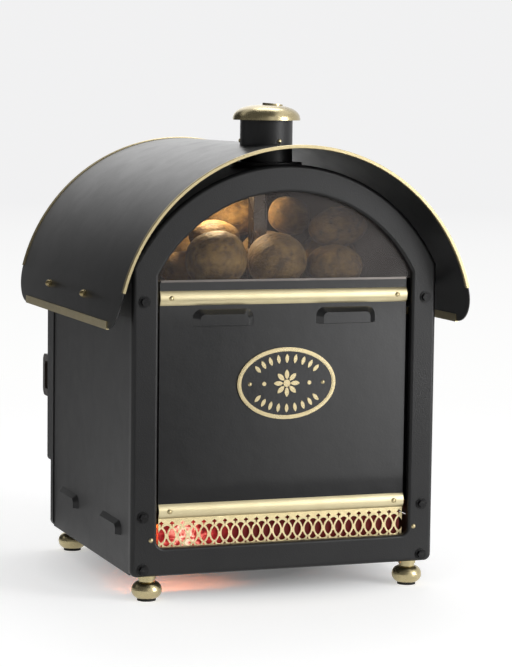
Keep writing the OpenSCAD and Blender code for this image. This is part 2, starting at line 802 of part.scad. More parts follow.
// Arched pane behind the frame's lip
glass_y = yf + lip_depth + 0.3;
glass_low = zb + panel_top + 1.4;
module window_glass() color("#8a8f92", 0.35)
    upright(glass_y, glass_t) cap_2d(op_half + glass_margin, op_r + glass_margin, glass_low);

// Bright channel that carries the pane's lower edge
channel_t = 1.2;
module glass_channel() color(steel) difference() {
    box([1 - panel_half, glass_y - channel_t - seat, zb + panel_top],
        [panel_half - 1, glass_y + glass_t + channel_t + seat, zb + panel_top + channel_h]);
    box([-panel_half, glass_y - seat, zb + panel_top + channel_t],
        [panel_half, glass_y + glass_t + seat, zb + panel_top + channel_h + past]);
}

// Barrel roof with rounded lower corners
roof_y0 = yf - roof_front;
roof_y1 = yr + roof_rear;
trim_low = asin((zb + skirt_z + skirt_corner - roof_cz) / roof_r);

// Side view of the roof: Y along x, Z along y
module roof_side_2d() {
    top = roof_cz + roof_r + past;
    shoulder = zb + skirt_z + skirt_corner;
    translate([roof_y0, shoulder]) square([roof_y1 - roof_y0, top - shoulder]);
    translate([roof_y0 + skirt_corner, zb + skirt_z])
        square([roof_y1 - roof_y0 - 2 * skirt_corner, skirt_corner + past]);
    for (y = [roof_y0 + skirt_corner, roof_y1 - skirt_corner])
        translate([y, shoulder]) circle(r = skirt_corner);
}

module roof_skin() color(black) difference() {
    intersection() {
        upright(roof_y0, roof_y1 - roof_y0) difference() {
            translate([0, roof_cz]) circle(r = roof_r, $fn = 180);
            translate([0, roof_cz]) circle(r = roof_r - roof_t, $fn = 180);
        }
        translate([-roof_r - past, 0, 0]) rotate([90, 0, 90])
            linear_extrude(height = 2 * (roof_r + past)) roof_side_2d();
    }
    translate([flue_pos[0], flue_pos[1], roof_cz]) cylinder(r = flue_r + 0.6, h = roof_r + past);
    for (p = roof_bolt_places()) at_roof_bolt(p) cylinder(r = bolt_r + 0.2, h = roof_r + past);
}

// Brass edging of the roof's front and rear edges, a beaded channel bent to the arc
trim_seat = 0.1;
bead_r = 2.6;
module roof_edge_trims() color(brass) for (s = [0, 1]) mirror([0, s, 0])
    translate([0, roof_y0 - trim_t - trim_seat, roof_cz])
        rotate([90, 0, 0]) rotate([0, 0, trim_low + 0.4])
        rotate_extrude(angle = 180 - 2 * trim_low - 0.8, $fn = 180) mirror([0, 1]) difference() {
            union() {
                translate([roof_r - roof_t - trim_t - trim_seat, 0])
                    square([roof_t + 2 * (trim_t + trim_seat), trim_w]);
                translate([roof_r - roof_t / 2, bead_r + 0.3]) circle(r = bead_r, $fn = 32);
            }
            translate([roof_r - roof_t - trim_seat, trim_t]) square([roof_t + 2 * trim_seat, trim_w]);
        }

// Brass channels on the roof's straight lower edges
hem_y = roof_y1 - skirt_corner - 2;
module roof_side_strips() color(brass) for (s = [0, 1]) mirror([s, 0, 0]) {
    low = zb + skirt_z;
    out = sqrt(roof_r * roof_r - pow(low - roof_cz, 2));
    lean = asin((low - roof_cz) / roof_r);
    difference() {
        translate([out, -hem_y, low]) rotate([0, -lean / 2, 0])
            translate([-roof_t - 1.4, 0, -1.4]) cube([roof_t + 2.8, 2 * hem_y, hem_h + 1.4]);
        upright(-hem_y - past, 2 * hem_y + 2 * past) difference() {
            translate([0, roof_cz]) circle(r = roof_r + 0.1, $fn = 180);
            translate([0, roof_cz]) circle(r = roof_r - roof_t - 0.1, $fn = 180);
            translate([-half, roof_cz - roof_r]) square([2 * roof_r, roof_r + low - roof_cz - 0.1]);
        }
    }
}

// Tubes that hold the roof off the cabinet's sides
spacer_r = 7;
module roof_spacers() color(steel) difference() {
    for (p = roof_bolt_places()) at_roof_bolt(p) difference() {
        cylinder(r = spacer_r, h = roof_r - roof_t - 0.15);
        translate([0, 0, -past]) cylinder(r = bolt_r + 0.2, h = roof_r);
    }
    upright(yf, body_d) arch_2d(skin_x + 0.1, skin_r + 0.1, zb, 0);
    box([-skin_x, yf, zb], [skin_x, yr, arch_cz + 60]);
}

// Studs through roof, spacer and cabinet, with brass dome nuts outside and plain nuts inside
nut_flats = 10;
module roof_bolts() color(brass) for (p = roof_bolt_places()) at_roof_bolt(p) {
    inner = (skin_x - sheet) / cos(bolt_angle) - 3.4;
    translate([0, 0, inner - 6]) cylinder(r = bolt_r, h = roof_r - inner + 8);
    translate([0, 0, inner - 4]) cylinder(r = nut_flats / sqrt(3), h = 4, $fn = 6);
    translate([0, 0, roof_r + 0.05]) {
        cylinder(r = nut_flats / sqrt(3), h = 3.5, $fn = 6);
        translate([0, 0, 3.4]) intersection() {
            sphere(r = nut_flats / 2);
            cylinder(r = nut_flats, h = nut_flats);
        }
    }
}

// Flue pipe on a saddle flange that sits on the barrel top
saddle_r = 52;
flue_low = arch_cz + skin_r - 5;
module flue_pipe() color(black) translate([flue_pos[0], flue_pos[1], 0]) difference() {
    union() {
        translate([0, 0, flue_low]) cylinder(r = flue_r, h = zb + flue_top - flue_low);
        difference() {
            translate([0, 0, arch_cz + skin_r - 8]) cylinder(r = saddle_r, h = 10.5);
            translate([0, -100, 0]) upright(0, 200)
                translate([0, arch_cz]) circle(r = skin_r + 0.1, $fn = 180);
        }
    }
    translate([0, 0, flue_low - past])
        cylinder(r = flue_r - flue_t, h = zb + flue_top - flue_low + 2 * past);
    for (a = [10, 130, 250]) translate([0, 0, zb + flue_screw_z]) rotate([0, 0, a])
        rod_y(screw_hole, -flue_r - past, -flue_r + 5);
}

// Domed cap with a raised ring round its hole and a spigot inside the pipe
cap_t = 1.5;
spigot_l = 10;
ring_w = 3;
ring_h = 1.5;

// Half outline of a dome, flatter on top and steeper at the rim than a ball
function dome_2d(r, h, n = 18) = [for (i = [0 : n]) let (a = 90 * i / n)
    [i == 0 ? 0 : r * pow(sin(a), 0.8), i == n ? 0 : h * pow(cos(a), 0.8)]];

module flue_cap() color(brass) translate([flue_pos[0], flue_pos[1], zb + flue_top]) {
    spigot = flue_r - flue_t - seat;
    lean = atan(cap_hole_x / (2 * cap_r));
    difference() {
        union() {
            rotate_extrude() polygon(concat(dome_2d(cap_r, cap_h), [[0, 0]]));
            translate([0, 0, -spigot_l]) cylinder(r = spigot, h = spigot_l + lap);
            translate([cap_hole_x, 0, cap_h - cap_t]) rotate([0, lean, 0])
                cylinder(r = cap_hole_r + ring_w, h = cap_t + ring_h);
        }
        rotate_extrude() polygon(concat(dome_2d(cap_r - cap_t, cap_h - 2 * cap_t), [[0, 0]]));
        translate([0, 0, -spigot_l - past]) cylinder(r = spigot - cap_t, h = spigot_l + 2 * past);
        translate([cap_hole_x, 0, 0]) rotate([0, lean, 0]) cylinder(r = cap_hole_r, h = 2 * cap_h);
    }
}

// Vent duct of folded sheet from the oven's roof to the flue, with a rolled seam at both front corners
duct_low = zb + oven_z + oven_h + liner_t;
duct_top = arch_cz + sqrt(pow(skin_r - sheet, 2) - pow(duct_w / 2 + abs(duct_x), 2)) - 2;
duct_t = 1;
seam_r = 1.4;
duct_y = flue_pos[1] + duct_back;
module flue_duct() color(steel) translate([duct_x, duct_y, 0]) {
    difference() {
        box([-duct_w / 2, -duct_d / 2, duct_low + seat], [duct_w / 2, duct_d / 2, duct_top]);
        box([duct_t - duct_w / 2, duct_t - duct_d / 2, duct_low - past],
            [duct_w / 2 - duct_t, duct_d / 2 - duct_t, duct_top + past]);
    }
    for (s = [-1, 1]) translate([s * duct_w / 2, -duct_d / 2, zb + tray_z + seat])
        cylinder(r = seam_r, h = duct_top - zb - tray_z - 4, $fn = 24);
}

// Turned bun feet on studs
foot_ball = (foot_h - pad_t - 9) / 2;
module feet() color(brass) for (p = foot_places()) translate([p[0], p[1], 0]) {
    waist = foot_neck_r - 1.5;
    end = acos((waist - foot_r + foot_ball) / foot_ball);
    rotate_extrude() polygon(concat([[0, pad_t]],
        [for (i = [0 : 16]) let (a = -90 + i * (end + 90) / 16)
            [foot_r - foot_ball + foot_ball * cos(a), pad_t + foot_ball + foot_ball * sin(a)]],
        [[waist, zb - 5], [foot_neck_r, zb - 5], [foot_neck_r, zb], [0, zb]]));
    translate([0, 0, zb - lap]) cylinder(r = 6, h = tray_floor - zb + lap);
    translate([0, 0, zb - lap]) cylinder(r = stud_r, h = sheet + 12 + lap);
    translate([0, 0, tray_floor + sheet]) cylinder(r = 6.5 / cos(30), h = 5, $fn = 6);
}

module foot_pads() color(rubber) for (p = foot_places()) translate([p[0], p[1], 0])
    cylinder(r = foot_r - foot_ball + 4, h = pad_t);

// Oven liner, open at the back where its flange meets the rear frame
liner_half = oven_w / 2 + liner_t;
liner_y = yf + oven_y;
liner_end = yr - sheet - seat;
liner_low = zb + oven_z - liner_t;
liner_top = zb + oven_z + oven_h + liner_t;
fan_z = zb + oven_z + oven_h / 2;
terminal_x = 22;

module duct_hole(z0, z1) translate([duct_x, duct_y, (z0 + z1) / 2])
    cube([duct_w - 2 * duct_t, duct_d - 2 * duct_t, z1 - z0], center = true);

module fan_holes(y0, y1) {
    rod_y(shaft_r + 2, y0, y1, 0, fan_z);
    for (s = [-1, 1]) {
        rod_y(element_end_r + 0.5, y0, y1, s * terminal_x, fan_z - element_drop);
        for (t = [-1, 1]) rod_y(motor_stud_r + 0.2, y0, y1, s * motor_stud, fan_z + t * motor_stud);
    }
}

module oven_liner() color(steel) difference() {
    union() {
        box([-liner_half, liner_y, liner_low], [liner_half, liner_end, liner_top]);
        box([-liner_half - 12, liner_end - liner_t, liner_low - 12],
            [liner_half + 12, liner_end, liner_top + 12]);
    }
    box([-oven_w / 2, liner_y + liner_t, zb + oven_z],
        [oven_w / 2, liner_end + past, zb + oven_z + oven_h]);
    duct_hole(liner_top - 3 * liner_t, liner_top + past);
    fan_holes(liner_y - past, liner_y + 2 * liner_t);
}

// Mineral wool round the liner
wool_front = 26;
module oven_insulation() color("#c9b26a") difference() {
    box([-liner_half - wool_t, liner_y - wool_front, liner_low - wool_t],
        [liner_half + wool_t, liner_end - 14, liner_top + wool_t]);
    box([-liner_half - seat, liner_y - seat, liner_low - seat],
        [liner_half + seat, liner_end, liner_top + seat]);
    translate([duct_x, duct_y, liner_top + wool_t / 2])
        cube([duct_w + 1, duct_d + 1, wool_t + 2 * past], center = true);
    fan_holes(liner_y - wool_front - past, liner_y + past);
}

// Ledges for the racks on both side walls
rack_y0 = liner_y + baffle_y + 6;
rack_y1 = liner_end - 10;
runner_t = 1.2;
ledge_w = 9;
rack_gap = oven_h / (rack_n + 0.7);

function rack_z(i) = zb + oven_z + rack_gap * (0.75 + i);

module rack_runners() color(steel) for (s = [0, 1]) mirror([s, 0, 0]) {
    outer = oven_w / 2 - seat;
    box([outer - runner_t, rack_y0, zb + oven_z + 5], [outer, rack_y1, zb + oven_z + oven_h - 5]);
    for (i = [0 : rack_n - 1]) box([outer - ledge_w, rack_y0, rack_z(i) - runner_t],
        [outer - lap, rack_y1, rack_z(i)]);
}

// Wire racks lying on the ledges
wire_r = 2.5;
bar_r = 1.5;
bar_n = 11;
module oven_racks() color(steel) for (i = [0 : rack_n - 1])
    translate([0, 0, rack_z(i) + seat + wire_r]) {
    x = oven_w / 2 - seat - runner_t - 1 - wire_r;
    y0 = rack_y0 + 2 + wire_r;
    y1 = rack_y1 - 2 - wire_r;
    for (y = [y0, y1]) rod_x(wire_r, -x, x, y);
    for (s = [-1, 1]) {
        rod_y(wire_r, y0, y1, s * x);
        for (y = [y0, y1]) translate([s * x, y, 0]) sphere(r = wire_r);
    }
    for (k = [1 : bar_n]) rod_y(bar_r, y0, y1, -x + 2 * x * k / (bar_n + 1), 1.8);
}

// Ring element in two turns round the impeller, its ends through the front wall
element_tube = 3.5;
element_y = [liner_y + 16, liner_y + 34];
element_end_r = 3;
element_drop = sqrt(element_r * element_r - terminal_x * terminal_x);
module heating_element() color("#6b5a50") {
    for (y = element_y) translate([0, y, fan_z]) rotate([90, 0, 0])
        rotate_extrude($fn = 64) translate([element_r, 0]) circle(r = element_tube, $fn = 16);
    for (i = [0, 1]) rod_y(element_end_r, liner_y - wool_front - 8, element_y[i],
        (2 * i - 1) * terminal_x, fan_z - element_drop);
    rod_y(element_end_r, element_y[0], element_y[1], 0, fan_z + element_r);
}

// Baffle between the fan and the racks, open over the impeller and at both sides
vent_r = 7;
vent_pitch = 19;
side_vent_w = 22;
side_vent_h = 26;
side_vent_pitch = 38;
side_vent_inset = 24;
baffle_flange = 12;
module fan_baffle() color(steel) {
    y0 = liner_y + baffle_y;
    edge = seat + 0.1;
    x1 = oven_w / 2 - edge;
    z0 = zb + oven_z + edge;
    z1 = zb + oven_z + oven_h - edge;
    difference() {
        union() {
            box([-x1, y0, z0], [x1, y0 + liner_t, z1]);
            for (s = [0, 1]) mirror([s, 0, 0])
                box([x1 - liner_t, y0 - baffle_flange, z0], [x1, y0, z1]);
        }
        rod_y(vent_r, y0 - past, y0 + 2 * liner_t, 0, fan_z);
        for (ring = [1, 2], i = [0 : 6 * ring - 1]) {
            r = vent_pitch * ring;
            a = 60 * i / ring;
            rod_y(vent_r, y0 - past, y0 + 2 * liner_t, r * cos(a), fan_z + r * sin(a));
        }
        for (s = [-1, 1], i = [-2 : 2])
            translate([s * (oven_w / 2 - side_vent_inset), y0, fan_z + i * side_vent_pitch])
                cube([side_vent_w, 4 * liner_t, side_vent_h], center = true);
    }
}

// Radial impeller on its shaft
blade_n = 12;
fan_y = liner_y + 14;
module fan_impeller() color(steel) difference() {
    union() {
        rod_y(fan_r, fan_y + fan_w - 1.5, fan_y + fan_w, 0, fan_z);
        rod_y(10, fan_y - 2, fan_y + fan_w, 0, fan_z);
        for (i = [0 : blade_n - 1]) translate([0, 0, fan_z]) rotate([0, 360 * i / blade_n, 0])
            box([fan_r * 0.55, fan_y, -0.7], [fan_r - 1, fan_y + fan_w - 1, 0.7]);
    }
    rod_y(shaft_r, fan_y - 3, fan_y + fan_w + past, 0, fan_z);
}

motor_y = yf + panel_y + 4;
module fan_shaft() color("#8d9094") rod_y(shaft_r, motor_y + 4, fan_y + fan_w, 0, fan_z);

// Fan motor, held by four studs to the oven's front wall
motor_r = 30;
motor_stud = 34;
motor_stud_r = 2.5;
motor_end = liner_y - wool_front - 1;
motor_plate = 2 * motor_stud + 14;
module fan_motor() color("#55585c") difference() {
    union() {
        rod_y(motor_r, motor_y, motor_end, 0, fan_z);
        translate([0, motor_end - 1, fan_z]) cube([motor_plate, 2, motor_plate], center = true);
        for (s = [-1, 1], t = [-1, 1])
            rod_y(motor_stud_r, motor_end - 6, liner_y + liner_t + 4, s * motor_stud,
                fan_z + t * motor_stud);
    }
    rod_y(shaft_r + run_gap, motor_y + 3, motor_end + past, 0, fan_z);
}

// Deck between the oven and the display
deck_z = zb + side_h + 7;
module display_deck() color(steel) difference() {
    union() {
        box([-tray_x, face_y + panel_box + seat, deck_z], [tray_x, tray_y1, deck_z + sheet]);
        for (s = [0, 1]) mirror([s, 0, 0])
            box([tray_x - sheet, face_y + panel_box + seat, seam_z + sheet + seat],
                [tray_x, tray_y1, deck_z + lap]);
    }
    translate([duct_x, duct_y, deck_z]) cube([duct_w + 1, duct_d + 1, 10], center = true);
}

// Tray that carries the potatoes, with rows of air holes
tray_half = op_half - 8;
air_r = 6;
air_first_y = 160;
air_pitch_x = 44;
air_pitch_y = 48;
module display_tray() color(steel) difference() {
    top = zb + tray_z;
    y0 = face_y + panel_box + 2;
    y1 = yr - frame_depth - 6;
    union() {
        box([-tray_half, y0, top - liner_t], [tray_half, y1, top]);
        for (s = [0, 1]) mirror([s, 0, 0])
            box([tray_half - liner_t, y0, deck_z + sheet + seat], [tray_half, y1, top + 6]);
        for (y = [y0, y1 - liner_t])
            box([-tray_half, y, deck_z + sheet + seat], [tray_half, y + liner_t, top]);
    }
    translate([duct_x, duct_y, top]) cube([duct_w + 12, duct_d + 2, 10], center = true);
    for (i = [-3 : 3], j = [0 : 4])
        translate([i * air_pitch_x, yf + air_first_y + j * air_pitch_y, top - 3])
            cylinder(r = air_r, h = 5, $fn = 24);
}

// Potatoes: place of the middle behind the frame's face and over the tray, then the
// length and thickness, and the turn and tilt
stock = [
    [[-87, 62, 43.2], 92, 86, 6, 3],
    [[4, 58, 41.7], 88, 83, 0, 4],
    [[93, 57, 32.8], 88, 65, 0, -2],
    [[112, 92, 87.3], 98, 62, 10, 8],
    [[56, 146, 100.8], 66, 60, -25, -14],
    [[-62, 142, 71.4], 84, 50, 10, -4],
    [[-8, 212, 95.6], 98, 62, 6, 4],
    [[-98, 152, 25.8], 96, 51, -8, 0],
    [[28, 166, 39.3], 84, 78, 0, 0],
    [[128, 172, 38.3], 92, 76, 12, 0],
    [[-54, 236, 38.3], 90, 76, 0, 0]];

// Half outline of a potato of length l and thickness d, blunter than an ellipse
function tuber(l, d, n = 14) = [for (i = [0 : n]) let (a = 180 * i / n)
    [i == 0 || i == n ? 0 : d / 2 * pow(sin(a), 0.85), -l / 2 * cos(a)]];

module potatoes() color("#a9824c") for (p = stock)
    translate([p[0][0], yf + p[0][1], zb + tray_z + p[0][2]])
        rotate([0, 0, p[3]]) rotate([0, 90 - p[4], 0])
        rotate_extrude($fn = 48) polygon(tuber(p[1], p[2]));

// Control panel over the rear frame's lower opening
module control_panel() color(steel) difference() {
    box([-control_half, yr, control_low - 5], [control_half, yr + sheet, control_low + control_h + 5]);
    for (x = [thermostat_x, timer_x]) rod_y(bush_r + 0.1, yr - past, yr + 2 * sheet, x, zb + control_z);
    for (x = [power_x, light_x]) translate([x, yr, zb + control_z])
        cube([switch_w + 0.2, 10, switch_h + 0.2], center = true);
    for (x = [power_x, light_x])
        rod_y(neon_r + 0.1, yr - past, yr + 2 * sheet, x, zb + control_z + neon_up);
    rod_y(gland_r + 0.1, yr - past, yr + 2 * sheet, gland_x, zb + control_z);
}

// Thermostat and timer bodies with threaded bushes that hold the spindles
bush_r = 5;
spindle_r = 3;
module dial_body(w, h, d) difference() {
    union() {
        box([-w / 2, -d, -h / 2], [w / 2, -seat, h / 2]);
        rod_y(bush_r, -1, sheet + 3);
    }
    rod_y(spindle_r + run_gap, 4 - d, 2 * sheet + 4);
}
module thermostat() color("#8f8a7c")
    translate([thermostat_x, yr, zb + control_z]) dial_body(46, 34, 34);
module timer() color("#d8d5cc") translate([timer_x, yr, zb + control_z]) dial_body(42, 42, 30);

// Control knob with a pointer bar, on its spindle
module knob(d) color(black) translate([0, yr, zb + control_z]) {
    y0 = sheet + 3.4;
    difference() {
        union() {
            rod_y(knob_r, y0, y0 + 3);
            rod_y(knob_r - 3, y0, y0 + knob_out - 4);
            box([-3, y0, 4 - knob_r], [3, y0 + knob_out, knob_r - 1]);
        }
        rod_y(bush_r + 1, y0 - past, y0 + 1);
    }
    rod_y(spindle_r, 6 - d, y0 + 4);
}
module thermostat_knob() translate([thermostat_x, 0, 0]) knob(34);
module timer_knob() translate([timer_x, 0, 0]) knob(30);

// Rocker switches
switch_w = 22;
switch_h = 30;
rocker_w = 17;
rocker_tilt = 8;
rocker_y = 1.5;
pivot_r = 1.5;
module switch_body() difference() {
    union() {
        box([-switch_w / 2, -20, -switch_h / 2], [switch_w / 2, sheet + lap, switch_h / 2]);
        box([-switch_w / 2 - 2, sheet, -switch_h / 2 - 2],
            [switch_w / 2 + 2, sheet + 2.5, switch_h / 2 + 2]);
    }
    box([-rocker_w / 2 - 0.4, -14, 1.2 - switch_h / 2], [rocker_w / 2 + 0.4, 10, switch_h / 2 - 1.2]);
    rod_x(pivot_r + run_gap, -switch_w / 2 + 0.6, switch_w / 2 - 0.6, rocker_y);
}
module switch_bodies() color("#26282a") for (x = [power_x, light_x])
    translate([x, yr, zb + control_z]) switch_body();
module rocker(x) color("#7d1612") translate([x, yr + rocker_y, zb + control_z])
    rotate([-rocker_tilt, 0, 0]) {
    rotate([90, 0, 90]) translate([0, 0, -rocker_w / 2]) linear_extrude(height = rocker_w)
        polygon([[-7, -4], [1, -11.6], [7, -11.6], [4.6, 0], [7, 11.6], [1, 11.6], [-7, 4]]);
    rod_x(pivot_r, -rocker_w / 2 - 1.6, rocker_w / 2 + 1.6);
}
module power_rocker() rocker(power_x);
module light_rocker() rocker(light_x);

// Pilot lamps over the switches
neon_r = 5;
neon_up = 25;
module neon_lamps() color("#e0752a") for (x = [power_x, light_x])
    translate([x, yr, zb + control_z + neon_up]) {
    rod_y(neon_r, -18, sheet + lap);
    rod_y(neon_r + 1.5, sheet, sheet + 1.5);
    intersection() {
        translate([0, sheet + 1, 0]) sphere(r = neon_r);
        box([-neon_r, sheet + 1, -neon_r], [neon_r, sheet + 10, neon_r]);
    }
}

// Gland of the mains cord
gland_x = 140;
gland_r = 8;
cord_r = 4;
module cable_gland() color("#1a1a1a") translate([gland_x, yr, zb + control_z]) difference() {
    union() {
        rod_y(gland_r, -14, sheet + lap);
        translate([0, sheet, 0]) rotate([-90, 0, 0]) cylinder(r = 12, h = 6, $fn = 6);
        rod_y(9.5, sheet + 5, sheet + 16);
        translate([0, -9, 0]) rotate([-90, 0, 0]) cylinder(r = 12, h = 5, $fn = 6);
    }
    rod_y(cord_r, -14 - past, sheet + 16 + past);
}

// Brackets that carry the pivots of both doors
door_y = yr + door_gap;
door_half = half - 2;
pivot_x = door_half - 6;
pivot_y = door_y + door_t / 2 + 2;
hatch_y = yr + door_gap + hatch_t - 4;
hatch_z = zb + hatch_low + hatch_pivot;
ear_t = 3;
ear_gap = 0.6;
module door_bracket() difference() {
    union() {
        box([pivot_x - 9, yr, 0], [pivot_x + 7, pivot_y + 7, ear_t]);
        box([pivot_x - 9, yr, 0], [pivot_x + 7, yr + ear_t, 14]);
    }
    translate([pivot_x, pivot_y, -past]) cylinder(r = door_pin_r + run_gap, h = ear_t + 2 * past);
}
module hinge_brackets() color(steel) {
    translate([0, 0, zb + door_high + ear_gap]) door_bracket();
    translate([0, 0, zb + door_low - ear_gap]) mirror([0, 0, 1]) door_bracket();
    for (s = [0, 1]) mirror([s, 0, 0]) difference() {
        x = hatch_half + ear_gap;
        union() {
            box([x, yr, hatch_z - 7], [x + ear_t, hatch_y + 7, hatch_z + 7]);
            box([x, yr, hatch_z - 7], [x + 8, yr + ear_t, hatch_z + 7]);
        }
        rod_x(hatch_pin_r + run_gap, x - past, x + ear_t + past, hatch_y, hatch_z);
    }
}

// Outer pan of the oven door with its welded pivots
skin_t = 1.2;
door_corner = 6;
door_mid = zb + (door_low + door_high) / 2;
module door_skin() color(black) {
    tall = door_high - door_low;
    difference() {
        translate([0, 0, door_mid]) upright(door_y, door_t)
            round_rect(2 * door_half, tall, door_corner);
        translate([0, 0, door_mid]) upright(door_y - past, door_t + past - skin_t)
            round_rect(2 * (door_half - skin_t), tall - 2 * skin_t, door_corner - skin_t);
        for (t = [-1, 1]) rod_y(screw_hole, door_y, door_y + door_t + past, handle_x,
            zb + handle_z + t * handle_bolt);
    }
    for (t = [0, 1]) translate([0, 0, door_mid]) mirror([0, 0, t]) {
        translate([pivot_x, pivot_y, tall / 2 - 14]) cylinder(r = door_pin_r, h = 14 + ear_gap + ear_t);
        box([pivot_x - 9, pivot_y - 6, tall / 2 - 12],
            [pivot_x + 5.4, pivot_y + 8, tall / 2 - skin_t + 0.2]);
    }
}

// Inner sheet of the door
module door_liner() color(steel) translate([0, 0, door_mid]) upright(door_y, skin_t)
    round_rect(2 * (door_half - skin_t - seat), door_high - door_low - 2 * (skin_t + seat),
        door_corner - skin_t);

module door_insulation() color("#c9b26a") difference() {
    tall = door_high - door_low - 30;
    translate([0, 0, door_mid]) upright(door_y + skin_t + seat, door_t - 2 * (skin_t + seat))
        round_rect(2 * door_half - 8, tall, 4);
    for (t = [-1, 1]) rod_y(6, door_y, door_y + door_t, handle_x, zb + handle_z + t * handle_bolt);
}

// Silicone seal round the oven's mouth
seal_w = 9;
module door_seal() color("#7a2a20") translate([0, 0, zb + oven_z + oven_h / 2])
    upright(yr + 0.3, door_gap - 0.3) difference() {
        round_rect(oven_w + 2 * seal_w + 6, oven_h + 2 * seal_w + 6, 8);
        round_rect(oven_w + 6, oven_h + 6, 5);
    }

// D-shaped handle near the free edge of the door
handle_x = -door_half + handle_w / 2 + 1;
handle_bolt = handle_h / 2 - 6;
grip_t = 11;
module door_handle() color("#15110f") difference() {
    outer_y = door_y + door_t;
    translate([handle_x - handle_w / 2, outer_y, zb + handle_z]) rotate([90, 0, 90])
        linear_extrude(height = handle_w) difference() {
            intersection() {
                translate([0, 0]) round_rect(2 * handle_out, handle_h, 12);
                translate([0, -handle_h]) square([2 * handle_out, 2 * handle_h]);
            }
            intersection() {
                round_rect(2 * (handle_out - grip_t), handle_h - 2 * grip_t, 6);
                translate([-past, -handle_h]) square([2 * handle_out, 2 * handle_h]);
            }
        }
    for (t = [-1, 1]) rod_y(screw_r, outer_y - past, outer_y + 14, handle_x,
        zb + handle_z + t * handle_bolt);
}

// Arched serving hatch with pivots at its lower corners
module hatch() color(black) {
    low = zb + hatch_low;
    y0 = yr + door_gap;
    difference() {
        upright(y0, hatch_t) cap_2d(hatch_half, hatch_r, low);
        upright(y0 - past, hatch_t + past - skin_t)
            cap_2d(hatch_half - skin_t, hatch_r - skin_t, low + skin_t);
        rod_y(screw_hole, y0, y0 + hatch_t + past, 0, knob_height);
    }
    difference() {
        upright(y0, skin_t) cap_2d(hatch_half - lap, hatch_r - lap, low + lap);
        upright(y0 - past, 3 * skin_t) cap_2d(hatch_half - 18, hatch_r - 18, low + 14);
    }
    for (s = [0, 1]) mirror([s, 0, 0]) {
        rod_x(hatch_pin_r, hatch_half - 12, hatch_half + ear_gap + ear_t, hatch_y, hatch_z);
        box([hatch_half - 10, hatch_y - 3.5, low + 0.5],
            [hatch_half - 0.5, hatch_y + 3.5, hatch_z + 5]);
    }
}

knob_height = arch_cz + hatch_r - 32;
module hatch_knob() color("#15110f") difference() {
    y0 = yr + door_gap + hatch_t;
    union() {
        rod_y(7, y0, y0 + 10, 0, knob_height);
        translate([0, y0 + 17, knob_height]) sphere(r = 11);
    }
    rod_y(screw_r, y0 - past, y0 + 12, 0, knob_height);
}

// Flat magnets on the rear frame that hold the doors shut
magnet_t = door_gap - 0.4;
module door_catches() color("#3a3a3c") {
    box([10 - half, yr, zb + handle_z - 20], [24 - half, yr + magnet_t, zb + handle_z + 20]);
    box([-20, yr, arch_cz + hatch_r - 15], [20, yr + magnet_t, arch_cz + hatch_r - 4]);
}

base_tray();
side_panel_left();
side_panel_right();
barrel_top();
rear_frame();
front_frame();
frame_bolts();
brass_screws();
front_panel();
brass_strips();
badge_plaque();
badge_enamel();
gallery();
ember_screen();
ember_lamp();
lamp_holders();
window_glass();
glass_channel();
roof_skin();
roof_edge_trims();
roof_side_strips();
roof_spacers();
roof_bolts();
flue_pipe();
flue_cap();
flue_duct();
feet();
foot_pads();
oven_liner();
oven_insulation();
rack_runners();
oven_racks();
heating_element();
fan_baffle();
fan_impeller();
fan_shaft();
fan_motor();
display_deck();
display_tray();
display_lamp();
potatoes();
control_panel();
thermostat();
timer();
thermostat_knob();
timer_knob();
switch_bodies();
power_rocker();
light_rocker();
neon_lamps();
cable_gland();
hinge_brackets();
door_skin();
door_liner();
door_insulation();
door_seal();
door_handle();
hatch();
hatch_knob();
door_catches();
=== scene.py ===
import math

import bmesh
import bpy
from mathutils import Matrix, Vector, noise


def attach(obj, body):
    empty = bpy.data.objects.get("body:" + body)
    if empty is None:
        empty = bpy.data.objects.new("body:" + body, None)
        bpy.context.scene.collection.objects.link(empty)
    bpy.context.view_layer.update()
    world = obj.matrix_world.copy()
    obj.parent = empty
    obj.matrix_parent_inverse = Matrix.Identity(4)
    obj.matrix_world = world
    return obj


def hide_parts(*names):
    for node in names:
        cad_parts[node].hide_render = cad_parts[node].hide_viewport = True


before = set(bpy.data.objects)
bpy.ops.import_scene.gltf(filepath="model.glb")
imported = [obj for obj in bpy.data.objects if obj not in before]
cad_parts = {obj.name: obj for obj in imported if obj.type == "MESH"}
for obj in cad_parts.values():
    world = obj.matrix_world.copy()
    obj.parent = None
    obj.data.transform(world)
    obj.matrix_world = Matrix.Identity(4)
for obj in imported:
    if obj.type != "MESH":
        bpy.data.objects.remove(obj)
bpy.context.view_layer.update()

# Carcass
# The tray-shaped floor, the two folded sides, the rolled barrel top and the
# rear ring are 1.5 mm mild steel, folded and welded, then coated with a satin
# black powder that bakes to a very fine orange peel.
COAT_PEEL = 620.0
COAT_PEEL_HEIGHT = 0.00016
COAT_HAZE = 7.0
COAT_SMEARS = 26.0
COAT_RIPPLES = 38.0
COAT_GLOSS = 0.42
COAT_BLACK = (0.0060, 0.0062, 0.0066, 1.0)
COAT_DUSTY = (0.0105, 0.0105, 0.0110, 1.0)


def add(tree, kind, settings=None, **inputs):
    """Adds one shader node; each input is a value or another node's output."""
    made = tree.nodes.new(kind)
    for name, value in (settings or {}).items():
        setattr(made, name, value)
    for name, value in inputs.items():
        socket = made.inputs[name.replace("_", " ")]
        if isinstance(value, bpy.types.NodeSocket):
            tree.links.new(value, socket)
        else:
            socket.default_value = value
    return made


def bare_finish(name, **shader_values):
    """A new finish: its tree, its shader and the piece's own coordinates."""
    finish = bpy.data.materials.new(name)
    finish.use_nodes = True
    tree = finish.node_tree
    shader = tree.nodes["Principled BSDF"]
    for socket, value in shader_values.items():
        shader.inputs[socket.replace("_", " ")].default_value = value
    place = add(tree, "ShaderNodeTexCoord").outputs["Object"]
    return finish, tree, shader, place


